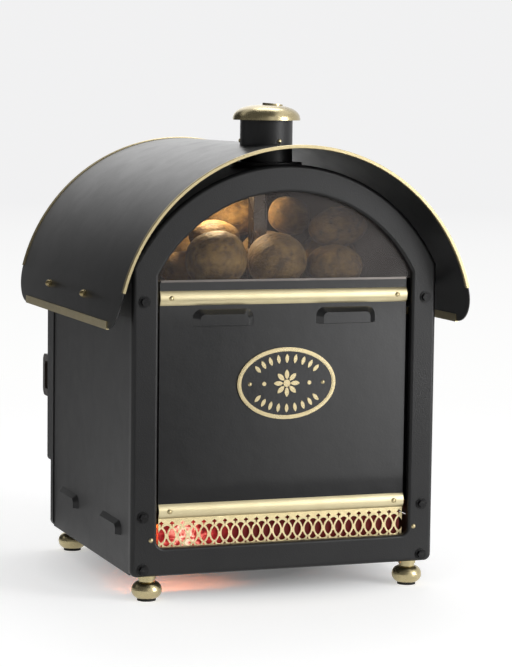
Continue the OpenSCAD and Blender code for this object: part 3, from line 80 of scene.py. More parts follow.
def blotches(tree, place, scale, detail=3.0, roughness=0.55, distortion=0.0):
    """Soft cloudy noise from 0 to 1, with features about 1/scale metres wide."""
    return add(
        tree, "ShaderNodeTexNoise", Vector=place, Scale=scale, Detail=detail,
        Roughness=roughness, Distortion=distortion,
    ).outputs["Fac"]


def between(tree, amount, low, high, from_low=0.3, from_high=0.7):
    """Turns a noise into a number between low and high."""
    return add(
        tree, "ShaderNodeMapRange", Value=amount, From_Min=from_low,
        From_Max=from_high, To_Min=low, To_Max=high,
    ).outputs["Result"]


def two_tone(tree, amount, first, second):
    """Blends two colours by a noise or a mask."""
    mix = add(tree, "ShaderNodeMix", {"data_type": "RGBA"})
    tree.links.new(amount, mix.inputs[0])
    for socket, colour in ((mix.inputs[6], first), (mix.inputs[7], second)):
        if isinstance(colour, bpy.types.NodeSocket):
            tree.links.new(colour, socket)
        else:
            socket.default_value = colour
    return mix.outputs[2]


def relief(tree, shader, height, distance, under=None):
    """Raises the surface by a height pattern, on top of another relief."""
    bump = add(tree, "ShaderNodeBump", Height=height, Strength=1.0, Distance=distance)
    if under is not None:
        tree.links.new(under, bump.inputs["Normal"])
    tree.links.new(bump.outputs["Normal"], shader.inputs["Normal"])
    return bump.outputs["Normal"]


def powder_coat(name, dark, dusty, gloss, peel_scale, peel_height, wave=0.0,
                shine=0.3, **shader_values):
    """Baked powder: cloudy tone, uneven sheen and the peel's tiny dimples."""
    finish, tree, shader, place = bare_finish(
        name, Specular_IOR_Level=shine, **shader_values
    )
    cloud = blotches(tree, place, COAT_HAZE, detail=5.0)
    tree.links.new(
        two_tone(tree, between(tree, cloud, 0.0, 1.0), dark, dusty),
        shader.inputs["Base Color"],
    )
    smears = blotches(tree, place, COAT_SMEARS, detail=4.0, distortion=0.6)
    tree.links.new(
        between(tree, smears, gloss - 0.02, gloss + 0.025), shader.inputs["Roughness"]
    )
    peel = blotches(tree, place, peel_scale, detail=1.5)
    top = relief(tree, shader, peel, peel_height)
    if wave:
        ripples = blotches(tree, place, COAT_RIPPLES, detail=1.0)
        relief(tree, shader, ripples, wave, top)
    return finish


def coat(finish, slot_name, *node_names):
    """Puts a finish on solids of the frame."""
    for node_name in node_names:
        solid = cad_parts[node_name]
        for spot in solid.material_slots:
            spot.material = finish


cabinet_coat = powder_coat(
    "cabinet_powder_coat", COAT_BLACK, COAT_DUSTY, COAT_GLOSS, COAT_PEEL,
    COAT_PEEL_HEIGHT, shine=0.34,
)
coat(cabinet_coat, "powder_coat", "base_tray", "side_panel_left", "side_panel_right",
     "barrel_top", "rear_frame")

# Front frame
# One pressed ring of steel with a rolled outer edge and a turned-in lip.
# Its coat is a shade more open-pored, so its broad face takes a soft grey sheen.
FRAME_BLACK = (0.0045, 0.0047, 0.0050, 1.0)
FRAME_DUSTY = (0.0085, 0.0085, 0.0090, 1.0)
FRAME_GLOSS = 0.38
FRAME_PEEL = 540.0
FRAME_PEEL_HEIGHT = 0.00018
frame_coat = powder_coat(
    "frame_powder_coat", FRAME_BLACK, FRAME_DUSTY, FRAME_GLOSS, FRAME_PEEL,
    FRAME_PEEL_HEIGHT, shine=0.4,
)
coat(frame_coat, "powder_coat", "front_frame")

# Frame bolts
# Black-oxide hexagon bolts hold both rings to the sides. The oxide is thin
# and rubs to bare grey on the corners that a spanner touches.
OXIDE_BLACK = (0.007, 0.007, 0.0075, 1.0)
RUBBED_GREY = (0.05, 0.048, 0.046, 1.0)
RUB_GRAIN = 420.0
RUB_DEPTH = 0.00008
oxide, tree, shader, place = bare_finish(
    "black_oxide", Metallic=0.55, Specular_IOR_Level=0.5
)
rub = blotches(tree, place, RUB_GRAIN, detail=4.0)
rubbed_off = between(tree, rub, 0.0, 1.0, 0.55, 0.75)
tree.links.new(two_tone(tree, rubbed_off, OXIDE_BLACK, RUBBED_GREY),
               shader.inputs["Base Color"])
tree.links.new(between(tree, rub, 0.3, 0.46), shader.inputs["Roughness"])
relief(tree, shader, rub, RUB_DEPTH)
coat(oxide, "black_steel", "frame_bolts")

# Front panel
# The wide panel under the window is flat sheet with two pressed louvres. It has
# a glossier black coat whose slow ripple shows in the reflections near its foot.
PANEL_DUSTY = (0.0075, 0.0075, 0.0080, 1.0)
PANEL_GLOSS = 0.3
PANEL_PEEL = 330.0
PANEL_PEEL_HEIGHT = 0.00012
PANEL_WAVE = 0.0003
panel_coat = powder_coat(
    "panel_gloss_coat", FRAME_BLACK, PANEL_DUSTY, PANEL_GLOSS, PANEL_PEEL,
    PANEL_PEEL_HEIGHT, wave=PANEL_WAVE, shine=0.42, Coat_Weight=0.55,
    Coat_Roughness=0.07,
)
coat(panel_coat, "panel_coat", "front_panel")

# Brass trim
# The strips, the roof's edge trims and the small screws are lacquered satin brass.
# Rolled strip is brushed along its length, and its lacquer has dulled in patches.
BRASS_LIGHT = (0.66, 0.56, 0.33, 1.0)
BRASS_DEEP = (0.40, 0.325, 0.165, 1.0)
STRIP_LIGHT = (0.80, 0.71, 0.46, 1.0)
STRIP_DEEP = (0.58, 0.49, 0.28, 1.0)
LACQUER_PATCHES = 34.0


def stretched(tree, place, stretch):
    """The piece's own coordinates, scaled by stretch in each direction."""
    return add(
        tree, "ShaderNodeMapping", Vector=place, Scale=stretch
    ).outputs["Vector"]


def product(tree, first, second):
    """Multiplies two numbers."""
    times = add(tree, "ShaderNodeMath", {"operation": "MULTIPLY"})
    for socket, number in zip(times.inputs, (first, second)):
        tree.links.new(number, socket)
    return times.outputs[0]


def brass(name, stretch, sheen, scratch_height, light=BRASS_LIGHT, deep=BRASS_DEEP):
    """Satin brass; stretch thins the brushing along the direction of the work."""
    finish, tree, shader, place = bare_finish(
        name, Metallic=1.0, Specular_IOR_Level=0.5, Coat_Weight=0.18, Coat_Roughness=0.22
    )
    drawn = stretched(tree, place, stretch)
    strokes = blotches(tree, drawn, 1.0, detail=4.0, roughness=0.65)
    patches = blotches(tree, place, LACQUER_PATCHES, detail=3.0)
    shade = product(tree, between(tree, strokes, 0.55, 1.0),
                    between(tree, patches, 0.7, 1.0))
    tree.links.new(two_tone(tree, shade, deep, light), shader.inputs["Base Color"])
    tree.links.new(between(tree, patches, sheen + 0.07, sheen - 0.03),
                   shader.inputs["Roughness"])
    relief(tree, shader, strokes, scratch_height)
    return finish


strip_brass = brass("brushed_strip_brass", (14.0, 1600.0, 1600.0), 0.42, 0.00005,
                    STRIP_LIGHT, STRIP_DEEP)
coat(strip_brass, "brass", "brass_strips")
trim_brass = brass("rolled_trim_brass", (500.0, 500.0, 500.0), 0.3, 0.00004)
coat(trim_brass, "brass", "roof_edge_trims", "brass_screws")
side_brass = brass("side_strip_brass", (1600.0, 14.0, 1600.0), 0.32, 0.00005)
coat(side_brass, "brass", "roof_side_strips")

# Badge
# A pressed oval plaque with a raised rim and a plain rosette ornament. The field
# is filled with black stove enamel that pools a little against the brass.
PLAQUE_LIGHT = (0.80, 0.69, 0.43, 1.0)
PLAQUE_DEEP = (0.58, 0.45, 0.22, 1.0)
ENAMEL_THIN = (0.0055, 0.0055, 0.0062, 1.0)
ENAMEL_POOLED = (0.012, 0.012, 0.013, 1.0)
POOL_SIZE = 90.0
ENAMEL_GRAIN = 300.0
ENAMEL_GRAIN_HEIGHT = 0.00012
plaque_brass = brass("pressed_plaque_brass", (700.0, 700.0, 700.0), 0.26, 0.00005,
                     PLAQUE_LIGHT, PLAQUE_DEEP)
coat(plaque_brass, "brass", "badge_plaque")

enamel, tree, shader, place = bare_finish(
    "stove_enamel", Specular_IOR_Level=0.5, Coat_Weight=0.5, Coat_Roughness=0.09
)
pooling = blotches(tree, place, POOL_SIZE, detail=2.0)
tree.links.new(two_tone(tree, pooling, ENAMEL_THIN, ENAMEL_POOLED),
               shader.inputs["Base Color"])
tree.links.new(between(tree, pooling, 0.16, 0.26), shader.inputs["Roughness"])
relief(tree, shader, blotches(tree, place, ENAMEL_GRAIN, detail=1.0),
       ENAMEL_GRAIN_HEIGHT)
coat(enamel, "badge_black", "badge_enamel")

# Gallery
# The pierced gallery is stamped from thin brass sheet. The punch leaves a row of
# fine stipple dots round each opening, which read as a grain on the narrow bars.
GALLERY_LIGHT = (0.80, 0.69, 0.41, 1.0)
GALLERY_DEEP = (0.50, 0.38, 0.18, 1.0)
STIPPLE_PITCH = 720.0
STIPPLE_HEIGHT = 0.00022
gallery_brass = brass("stamped_gallery_brass", (900.0, 900.0, 900.0), 0.34, 0.0001,
                      GALLERY_LIGHT, GALLERY_DEEP)
tree = gallery_brass.node_tree
shader = tree.nodes["Principled BSDF"]
place = add(tree, "ShaderNodeTexCoord").outputs["Object"]
dots = add(tree, "ShaderNodeTexVoronoi", Vector=place, Scale=STIPPLE_PITCH,
           Randomness=0.35)
relief(tree, shader, between(tree, dots.outputs["Distance"], 1.0, 0.0, 0.1, 0.5),
       STIPPLE_HEIGHT, shader.inputs["Normal"].links[0].from_socket)
coat(gallery_brass, "brass", "gallery")

# Ember glow
# A red lacquered lamp burns behind a sheet of translucent dark red plastic. The lamp's
# light
# on the sheet is painted light: an emission on the sheet, nearly white close to the lamp
# and fading to deep red away from it.
EMBER_CENTRE = (-0.146, -0.208, 0.0865)
EMBER_CORE = 0.004
EMBER_REACH = 0.19
EMBER_FALL = 4.5
CORE_FALL = 5.0
EMBER_PATCHES = 85.0
EMBER_DEEP = (0.20, 0.006, 0.010, 1.0)
EMBER_BRIGHT = (1.0, 0.025, 0.035, 1.0)
EMBER_WHITE = (1.0, 0.80, 0.58, 1.0)
EMBER_LAMP_POWER = 42.0


def power(tree, number, exponent):
    """Raises a number to a power."""
    raised = add(tree, "ShaderNodeMath", {"operation": "POWER"})
    tree.links.new(number, raised.inputs[0])
    raised.inputs[1].default_value = exponent
    return raised.outputs[0]


ember_sheet_painted_glow, tree, shader, place = bare_finish(
    "ember_sheet_painted_glow", Specular_IOR_Level=0.25, Roughness=0.34
)
# Painted light: the sheet's emission falls off with distance from the lamp's centre.
away = add(tree, "ShaderNodeVectorMath", {"operation": "DISTANCE"})
tree.links.new(place, away.inputs[0])
away.inputs[1].default_value = EMBER_CENTRE
fall = between(tree, away.outputs["Value"], 1.0, 0.0, EMBER_CORE, EMBER_REACH)
patches = blotches(tree, place, EMBER_PATCHES, distortion=1.2)
painted_glow = product(tree, power(tree, fall, EMBER_FALL), between(tree, patches, 0.3, 1.7))
deep_red = two_tone(tree, painted_glow, EMBER_DEEP, EMBER_BRIGHT)
tree.links.new(
    two_tone(tree, power(tree, painted_glow, CORE_FALL), deep_red, EMBER_WHITE),
    shader.inputs["Emission Color"],
)
tree.links.new(between(tree, painted_glow, 0.055, 1.0, 0.0, 0.8),
               shader.inputs["Emission Strength"])
tree.links.new(
    two_tone(tree, blotches(tree, place, 60.0), (0.12, 0.008, 0.007, 1.0),
             (0.2, 0.014, 0.01, 1.0)),
    shader.inputs["Base Color"],
)
coat(ember_sheet_painted_glow, "ember_red", "ember_screen")

ember_bulb, tree, shader, place = bare_finish(
    "red_lacquered_bulb", Roughness=0.2, Coat_Weight=0.4, Coat_Roughness=0.1,
    Emission_Strength=EMBER_LAMP_POWER,
)
lacquer = blotches(tree, place, 130.0, detail=3.0)
tree.links.new(
    two_tone(tree, lacquer, (1.0, 0.20, 0.035, 1.0), (1.0, 0.32, 0.07, 1.0)),
    shader.inputs["Emission Color"],
)
tree.links.new(
    two_tone(tree, lacquer, (0.75, 0.05, 0.03, 1.0), (0.85, 0.12, 0.06, 1.0)),
    shader.inputs["Base Color"],
)
coat(ember_bulb, "ember_bulb", "ember_lamp")

# Window
# The arched window is 4 mm toughened glass dropped behind the ring. A thin grey-brown
# veil on it is painted reflection of the pale surroundings, patchy and thicker towards the
# right.
REFLECTION_DARK = (0.115, 0.100, 0.095, 1.0)
REFLECTION_PALE = (0.18, 0.160, 0.155, 1.0)
REFLECTION_PATCHES = 11.0
REFLECTION_LEFT = 0.09
REFLECTION_RIGHT = 0.27
PANE_LEFT = -0.1
PANE_RIGHT = 0.2
window, tree, shader, place = bare_finish(
    "window_glass_painted_reflection", IOR=1.5, Specular_IOR_Level=0.6, Coat_Weight=0.35,
    Coat_Roughness=0.03,
)
reflection_patches = blotches(tree, place, REFLECTION_PATCHES, detail=5.0, distortion=0.8)
tree.links.new(two_tone(tree, reflection_patches, REFLECTION_DARK, REFLECTION_PALE), shader.inputs["Base Color"])
# Painted reflection: the veil's opacity grows from the left of the pane to the right.
across = add(tree, "ShaderNodeSeparateXYZ", Vector=place).outputs["X"]
reflection_grade = between(tree, across, REFLECTION_LEFT, REFLECTION_RIGHT, PANE_LEFT, PANE_RIGHT)
painted_reflection = product(tree, between(tree, reflection_patches, 0.8, 1.25), reflection_grade)
tree.links.new(painted_reflection, shader.inputs["Alpha"])
tree.links.new(between(tree, reflection_patches, 0.05, 0.16), shader.inputs["Roughness"])
coat(window, "glass", "window_glass")

# Glass channel
# A slim folded channel of bright steel carries the lower edge of the pane. It
# sits on top of the front panel, and the oven's fat has dulled it.
CHANNEL_LIGHT = (0.22, 0.20, 0.185, 1.0)
CHANNEL_DARK = (0.10, 0.09, 0.085, 1.0)
STAIN_SIZE = 18.0


def sheet_metal(name, stretch, light, dark, sheen, height, **shader_values):
    """Bare metal sheet or rod with its drawing or brushing marks."""
    finish, tree, shader, place = bare_finish(name, Metallic=1.0, **shader_values)
    drawn = stretched(tree, place, stretch)
    marks = blotches(tree, drawn, 1.0, detail=5.0, roughness=0.7)
    stain = blotches(tree, place, STAIN_SIZE, detail=4.0, distortion=0.5)
    shade = product(tree, between(tree, marks, 0.4, 1.0), between(tree, stain, 0.55, 1.0))
    tree.links.new(two_tone(tree, shade, dark, light), shader.inputs["Base Color"])
    tree.links.new(between(tree, stain, sheen + 0.1, sheen - 0.04),
                   shader.inputs["Roughness"])
    relief(tree, shader, marks, height)
    return finish


channel_steel = sheet_metal("dull_channel_steel", (12.0, 900.0, 900.0), CHANNEL_LIGHT,
                            CHANNEL_DARK, 0.36, 0.00005)
coat(channel_steel, "bright_steel", "glass_channel")

# Roof
# The outer roof is a single rolled sheet that stands off the barrel on turned steel
# spacers, under brass dome nuts darkened as painted shade. Its powder lies a little
# flatter.
ROOF_BLACK = (0.0065, 0.0067, 0.0070, 1.0)
ROOF_DUSTY = (0.0105, 0.0105, 0.0108, 1.0)
ROOF_GLOSS = 0.3
ROOF_PEEL = 600.0
ROOF_PEEL_HEIGHT = 0.0001
roof_coat = powder_coat("roof_powder_coat", ROOF_BLACK, ROOF_DUSTY, ROOF_GLOSS,
                        ROOF_PEEL, ROOF_PEEL_HEIGHT, shine=0.5)
coat(roof_coat, "roof_coat", "roof_skin")

TURNED_LIGHT = (0.74, 0.75, 0.77, 1.0)
TURNED_DARK = (0.48, 0.49, 0.5, 1.0)
turned_steel = sheet_metal("turned_bright_steel", (300.0, 300.0, 2400.0), TURNED_LIGHT,
                           TURNED_DARK, 0.2, 0.00003)
coat(turned_steel, "stainless", "roof_spacers", "fan_shaft")

# Painted shade: the nuts' brass is darkened to stand for the dark surroundings they
# reflect.
NUT_SHADE_LIGHT = (0.34, 0.27, 0.13, 1.0)
NUT_SHADE_DEEP = (0.15, 0.115, 0.06, 1.0)
nut_brass = brass("shade_darkened_nut_brass", (900.0, 900.0, 900.0), 0.3, 0.00005,
                  NUT_SHADE_LIGHT, NUT_SHADE_DEEP)
coat(nut_brass, "brass", "roof_bolts")

# Flue
# A short black stack carries the oven's steam out of the roof, under a spun brass
# cap with fine lathe rings. The bare duct inside it has gone brown with heat.
CAP_LIGHT = (0.55, 0.47, 0.28, 1.0)
CAP_DEEP = (0.31, 0.25, 0.13, 1.0)
DUCT_LIGHT = (0.13, 0.112, 0.095, 1.0)
DUCT_DARK = (0.065, 0.052, 0.042, 1.0)
LATHE_RINGS = (260.0, 260.0, 2600.0)
coat(cabinet_coat, "powder_coat", "flue_pipe")
cap_brass = brass("spun_cap_brass", LATHE_RINGS, 0.24, 0.00004, CAP_LIGHT, CAP_DEEP)
coat(cap_brass, "brass", "flue_cap")
duct_metal = sheet_metal("heat_tinted_duct", (420.0, 420.0, 12.0), DUCT_LIGHT,
                         DUCT_DARK, 0.22, 0.00006)
coat(duct_metal, "duct_steel", "flue_duct")

# Feet
# Four bun feet are turned from brass bar. Moulded discs of hard black rubber, matt
# with a fine grain, are pressed into their undersides and keep them from sliding.
FOOT_LIGHT = (0.60, 0.515, 0.30, 1.0)
FOOT_DEEP = (0.34, 0.28, 0.145, 1.0)
RUBBER_WORN = (0.035, 0.034, 0.033, 1.0)
RUBBER_BLACK = (0.016, 0.016, 0.016, 1.0)
WEAR_SIZE = 45.0
foot_brass = brass("turned_brass", LATHE_RINGS, 0.24, 0.00004, FOOT_LIGHT, FOOT_DEEP)
coat(foot_brass, "brass", "feet")


def moulded(name, light, dark, gloss, grain, height, **shader_values):
    """Moulded plastic, rubber or ceramic with its mould grain."""
    finish, tree, shader, place = bare_finish(name, **shader_values)
    skin = blotches(tree, place, grain, detail=3.0)
    wear = blotches(tree, place, WEAR_SIZE, detail=4.0)
    tree.links.new(two_tone(tree, wear, dark, light), shader.inputs["Base Color"])
    tree.links.new(between(tree, wear, gloss - 0.04, gloss + 0.08),
                   shader.inputs["Roughness"])
    relief(tree, shader, skin, height)
    return finish


pad_rubber = moulded("pad_rubber", RUBBER_WORN, RUBBER_BLACK, 0.72, 900.0, 0.00012,
                     Specular_IOR_Level=0.3)
coat(pad_rubber, "rubber_pad", "foot_pads")

# Oven
# The oven box, its runners, shelves and fan baffle are brushed stainless steel.
# The shelves are welded from drawn rod; heat has left a faint straw tint.
LINER_LIGHT = (0.68, 0.68, 0.68, 1.0)
LINER_DARK = (0.40, 0.38, 0.35, 1.0)
ROD_DARK = (0.46, 0.44, 0.41, 1.0)
liner_steel = sheet_metal("brushed_stainless", (12.0, 900.0, 900.0), LINER_LIGHT,
                          LINER_DARK, 0.3, 0.00005)
coat(liner_steel, "stainless", "oven_liner", "rack_runners", "fan_baffle",
     "display_deck", "display_tray", "hinge_brackets", "door_liner")
shelf_steel = sheet_metal("drawn_shelf_rod", (60.0, 60.0, 60.0), TURNED_LIGHT,
                          ROD_DARK, 0.2, 0.00003)
coat(shelf_steel, "bright_steel", "oven_racks")

# Element and fan
# The ring element has a dark fired steel sheath. A cast aluminium impeller turns
# inside it, on a motor in grey enamel.
SHEATH_LIGHT = (0.30, 0.25, 0.22, 1.0)
SHEATH_DARK = (0.12, 0.10, 0.09, 1.0)
CAST_LIGHT = (0.70, 0.71, 0.72, 1.0)
CAST_DARK = (0.45, 0.46, 0.47, 1.0)
MOTOR_DARK = (0.10, 0.105, 0.115, 1.0)
MOTOR_LIGHT = (0.15, 0.155, 0.165, 1.0)
element_steel = sheet_metal("element_sheath", (200.0, 200.0, 200.0), SHEATH_LIGHT,
                            SHEATH_DARK, 0.42, 0.00006)
coat(element_steel, "element_sheath", "heating_element")
impeller_metal = sheet_metal("fan_aluminium", (700.0, 40.0, 700.0), CAST_LIGHT,
                             CAST_DARK, 0.32, 0.00004)
coat(impeller_metal, "fan_aluminium", "fan_impeller")
motor_paint = powder_coat("motor_grey_enamel", MOTOR_DARK, MOTOR_LIGHT, 0.4, 500.0,
                          0.0001)
coat(motor_paint, "motor_steel", "fan_motor")

# Insulation
# Slabs of yellow mineral wool fill the space round the oven and inside its door.
# The fibres lie mostly flat, in layers.
WOOL_DEEP = (0.42, 0.32, 0.15, 1.0)
WOOL_PALE = (0.78, 0.68, 0.45, 1.0)
WOOL_LAYERS = (260.0, 260.0, 900.0)
WOOL_PILE = 0.0012
wool, tree, shader, place = bare_finish(
    "mineral_wool", Roughness=0.95, Specular_IOR_Level=0.1, Sheen_Weight=0.3
)
fibres = blotches(tree, stretched(tree, place, WOOL_LAYERS), 1.0, detail=6.0,
                  roughness=0.75, distortion=1.0)
tree.links.new(two_tone(tree, fibres, WOOL_DEEP, WOOL_PALE), shader.inputs["Base Color"])
relief(tree, shader, fibres, WOOL_PILE)
coat(wool, "mineral_wool", "oven_insulation", "door_insulation")

# Display lamp
# A small frosted lamp lights and warms the display from the upper left. It is
# held, like the red lamp below, by a glazed porcelain holder screwed to the sheet.
GLAZE_LIGHT = (0.80, 0.78, 0.72, 1.0)
GLAZE_DARK = (0.66, 0.63, 0.56, 1.0)
WARM_DEEP = (1.0, 0.70, 0.38, 1.0)
WARM_PALE = (1.0, 0.78, 0.48, 1.0)
FROST_GRAIN = 260.0
WARM_LAMP_POWER = 120.0
porcelain = moulded("glazed_porcelain", GLAZE_LIGHT, GLAZE_DARK, 0.2, 160.0, 0.00006,
                    Specular_IOR_Level=0.5, Coat_Weight=0.4, Coat_Roughness=0.08)
coat(porcelain, "porcelain", "lamp_holders")

warm_bulb, tree, shader, place = bare_finish(
    "frosted_warm_bulb", Roughness=0.35, Emission_Strength=WARM_LAMP_POWER
)
frost = blotches(tree, place, FROST_GRAIN, detail=4.0)
tree.links.new(two_tone(tree, frost, WARM_DEEP, WARM_PALE), shader.inputs["Emission Color"])
tree.links.new(
    two_tone(tree, frost, (0.9, 0.8, 0.6, 1.0), (1.0, 0.92, 0.78, 1.0)),
    shader.inputs["Base Color"],
)
coat(warm_bulb, "lamp_bulb", "display_lamp")

# Potatoes
# Baked potatoes heaped on the display tray. Their skins are dry, tan with
# darker scuffs and eyes, lightly wrinkled, and no two are the same shape.
POTATO_LUMP = 0.0023
POTATO_DIMPLE = 0.0014
POTATO_SKIN_STEP = 0.0032
POTATO_SMOOTHING = 6
LUMP_SIZE = 26.0
LUMP_SHIFT = 7.0
INSET = 0.6
DIMPLE_SIZE = 95.0
DIMPLE_SHIFT = 5.0
DIMPLE_EDGE = 0.3
SCUFF_SIZE = 62.0
EYE_SPACING = 44.0
PORE_SPACING = 260.0
SCUFF_BROWN = (0.060, 0.032, 0.010, 1.0)
SKIN_TAN = (0.27, 0.165, 0.052, 1.0)
PORE_BROWN = (0.10, 0.052, 0.024, 1.0)
EYE_BROWN = (0.07, 0.036, 0.018, 1.0)
WRINKLES = (90.0, 220.0, 220.0)
WRINKLE_HEIGHT = 0.0035
EYE_DEPTH = 0.0007
SAME_POINT = 1e-6

potato_skin, tree, shader, place = bare_finish(
    "baked_potato_skin", Specular_IOR_Level=0.38, Sheen_Weight=0.06, Sheen_Roughness=0.5
)
scuffs = blotches(tree, place, SCUFF_SIZE, detail=8.0, roughness=0.68, distortion=0.3)
tan = two_tone(tree, between(tree, scuffs, 0.0, 1.0, 0.36, 0.64), SCUFF_BROWN, SKIN_TAN)
eyes = add(tree, "ShaderNodeTexVoronoi", Vector=place, Scale=EYE_SPACING, Randomness=1.0)
eye_mask = between(tree, eyes.outputs["Distance"], 1.0, 0.0, 0.05, 0.2)
pores = add(tree, "ShaderNodeTexVoronoi", Vector=place, Scale=PORE_SPACING,
            Randomness=1.0)
pore_mask = between(tree, pores.outputs["Distance"], 0.55, 0.0, 0.08, 0.3)
spotted = two_tone(tree, pore_mask, tan, PORE_BROWN)
tree.links.new(two_tone(tree, eye_mask, spotted, EYE_BROWN), shader.inputs["Base Color"])
tree.links.new(between(tree, scuffs, 0.46, 0.66), shader.inputs["Roughness"])
wrinkles = blotches(tree, stretched(tree, place, WRINKLES), 1.0, detail=6.0,
                    distortion=0.4)
skin_top = relief(tree, shader, wrinkles, WRINKLE_HEIGHT)
relief(tree, shader, between(tree, eyes.outputs["Distance"], 0.0, 1.0, 0.03, 0.22),
       EYE_DEPTH, skin_top)

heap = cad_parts["potatoes"]
coat(potato_skin, "potato_skin", "potatoes")
shapes = bmesh.new()
shapes.from_mesh(heap.data)
bmesh.ops.remove_doubles(shapes, verts=shapes.verts, dist=SAME_POINT)
waiting = set(shapes.verts)
potato_groups = []
while waiting:
    grown = [waiting.pop()]
    members = set(grown)
    while grown:
        for edge in grown.pop().link_edges:
            for vert in edge.verts:
                if vert in waiting:
                    waiting.discard(vert)
                    members.add(vert)
                    grown.append(vert)
    potato_groups.append(members)
potato_groups.sort(key=lambda group: tuple(round(v, 4) for v in min(p.co for p in group)))

for number, members in enumerate(potato_groups, start=1):
    index_of = {vert: i for i, vert in enumerate(sorted(members, key=lambda v: v.index))}
    outline = [vert.co.copy() for vert in index_of]
    faces = [
        [index_of[vert] for vert in face.verts]
        for face in shapes.faces if face.verts[0] in members
    ]
    mesh = bpy.data.meshes.new(f"potato_{number:02d}")
    mesh.from_pydata(outline, [], faces)
    potato = bpy.data.objects.new(f"potato_{number:02d}", mesh)
    bpy.context.scene.collection.objects.link(potato)
    even_skin = potato.modifiers.new("even_skin", "REMESH")
    even_skin.mode = "VOXEL"
    even_skin.voxel_size = POTATO_SKIN_STEP
    potato.modifiers.new("soft", "SMOOTH").iterations = POTATO_SMOOTHING
    depsgraph = bpy.context.evaluated_depsgraph_get()
    skin = bpy.data.meshes.new_from_object(potato.evaluated_get(depsgraph))
    potato.modifiers.clear()
    potato.data = skin
    for vert in skin.vertices:
        lump_place = vert.co * LUMP_SIZE + Vector((number * LUMP_SHIFT, 0.0, 0.0))
        lump = noise.noise(lump_place) * POTATO_LUMP
        dimple_place = vert.co * DIMPLE_SIZE + Vector((0.0, number * DIMPLE_SHIFT, 0.0))
        pit = max(0.0, noise.noise(dimple_place) - DIMPLE_EDGE)
        vert.co -= vert.normal * (POTATO_LUMP * INSET - lump + pit * POTATO_DIMPLE)
    for face in skin.polygons:
        face.use_smooth = True
    skin.materials.clear()
    skin.materials.append(potato_skin)
    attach(potato, "cabinet")
    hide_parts("potatoes")
shapes.free()

# Controls
# The control plate is brushed stainless sheet, screwed under the oven door at the
# back. The thermostat and timer turn by moulded knobs, and each red rocker switch
# has an amber pilot lamp over it.
KNOB_WORN = (0.040, 0.034, 0.031, 1.0)
KNOB_BLACK = (0.022, 0.018, 0.016, 1.0)
SWITCH_WORN = (0.030, 0.030, 0.032, 1.0)
SWITCH_BLACK = (0.020, 0.020, 0.021, 1.0)
ROCKER_BRIGHT = (0.48, 0.035, 0.028, 1.0)
ROCKER_RED = (0.36, 0.022, 0.018, 1.0)
AMBER_PALE = (0.95, 0.42, 0.09, 1.0)
AMBER_DEEP = (0.8, 0.28, 0.05, 1.0)
AMBER_GLOW = (1.0, 0.35, 0.06, 1.0)
CASE_LIGHT = (0.66, 0.67, 0.68, 1.0)
CASE_DARK = (0.42, 0.42, 0.42, 1.0)
coat(liner_steel, "stainless", "control_panel")
knob_plastic = moulded("phenolic_knob", KNOB_WORN, KNOB_BLACK, 0.3, 500.0, 0.00006,
                       Specular_IOR_Level=0.5, Coat_Weight=0.2, Coat_Roughness=0.15)
coat(knob_plastic, "black_plastic", "thermostat_knob", "timer_knob", "hatch_knob")
switch_plastic = moulded("switch_plastic", SWITCH_WORN, SWITCH_BLACK, 0.2, 400.0,
                         0.00004, Specular_IOR_Level=0.5)
coat(switch_plastic, "switch_black", "switch_bodies", "cable_gland")
red_rocker = moulded("red_rocker_plastic", ROCKER_BRIGHT, ROCKER_RED, 0.22, 400.0,
                     0.00004, Specular_IOR_Level=0.5)
coat(red_rocker, "rocker_red", "power_rocker", "light_rocker")
amber = moulded("amber_lens", AMBER_PALE, AMBER_DEEP, 0.18, 350.0, 0.00008,
                Specular_IOR_Level=0.5, Emission_Strength=0.25,
                Emission_Color=AMBER_GLOW)
coat(amber, "neon", "neon_lamps")
instrument_steel = sheet_metal("instrument_case", (500.0, 500.0, 500.0), CASE_LIGHT,
                               CASE_DARK, 0.34, 0.00004)
coat(instrument_steel, "motor_steel", "thermostat", "timer")

# Oven door
# The side-hung oven door is a folded steel skin over a stainless liner with wool
# between, and turns on pressed hinge brackets. Its handle is a moulded D-shaped
# grip, its seal is red silicone, and small magnets hold it shut.
SEAL_RED = (0.36, 0.085, 0.055, 1.0)
SEAL_DARK = (0.24, 0.05, 0.034, 1.0)
GRIP_WORN = (0.040, 0.028, 0.022, 1.0)
GRIP_BLACK = (0.020, 0.013, 0.010, 1.0)
FERRITE_LIGHT = (0.075, 0.075, 0.08, 1.0)
FERRITE_DARK = (0.045, 0.045, 0.048, 1.0)
coat(cabinet_coat, "powder_coat", "door_skin")
seal_rubber = moulded("silicone_seal", SEAL_RED, SEAL_DARK, 0.6, 700.0, 0.0001,
                      Specular_IOR_Level=0.35)
coat(seal_rubber, "silicone", "door_seal")
grip_plastic = moulded("handle_grip", GRIP_WORN, GRIP_BLACK, 0.34, 380.0, 0.00008,
                       Specular_IOR_Level=0.5)
coat(grip_plastic, "black_plastic", "door_handle")
ferrite = moulded("ferrite_catch", FERRITE_LIGHT, FERRITE_DARK, 0.5, 300.0, 0.0001,
                  Specular_IOR_Level=0.4)
coat(ferrite, "magnet", "door_catches")

# Display hatch
# The arched hatch behind the display is a folded sheet pan, coated black, that
# drops down on two pivots at its lower corners. Its knob is moulded plastic.
coat(roof_coat, "powder_coat", "hatch")

# Studio
# A plain pale sweep, one broad soft light at the right of the camera, weaker ones
# above and at the left, and an even pale surround.
BACKDROP = (0.88, 0.88, 0.885, 1.0)
SWEEP_NEAR = (0.99, 0.99, 0.985, 1.0)
PAPER_GREY = (0.76, 0.76, 0.76, 1.0)
WHITE = (1.0, 1.0, 1.0, 1.0)
SURROUND_LIGHT = 0.45
FLOOR_RADIUS = 40.0
FLOOR_STEP_DEGREES = 5


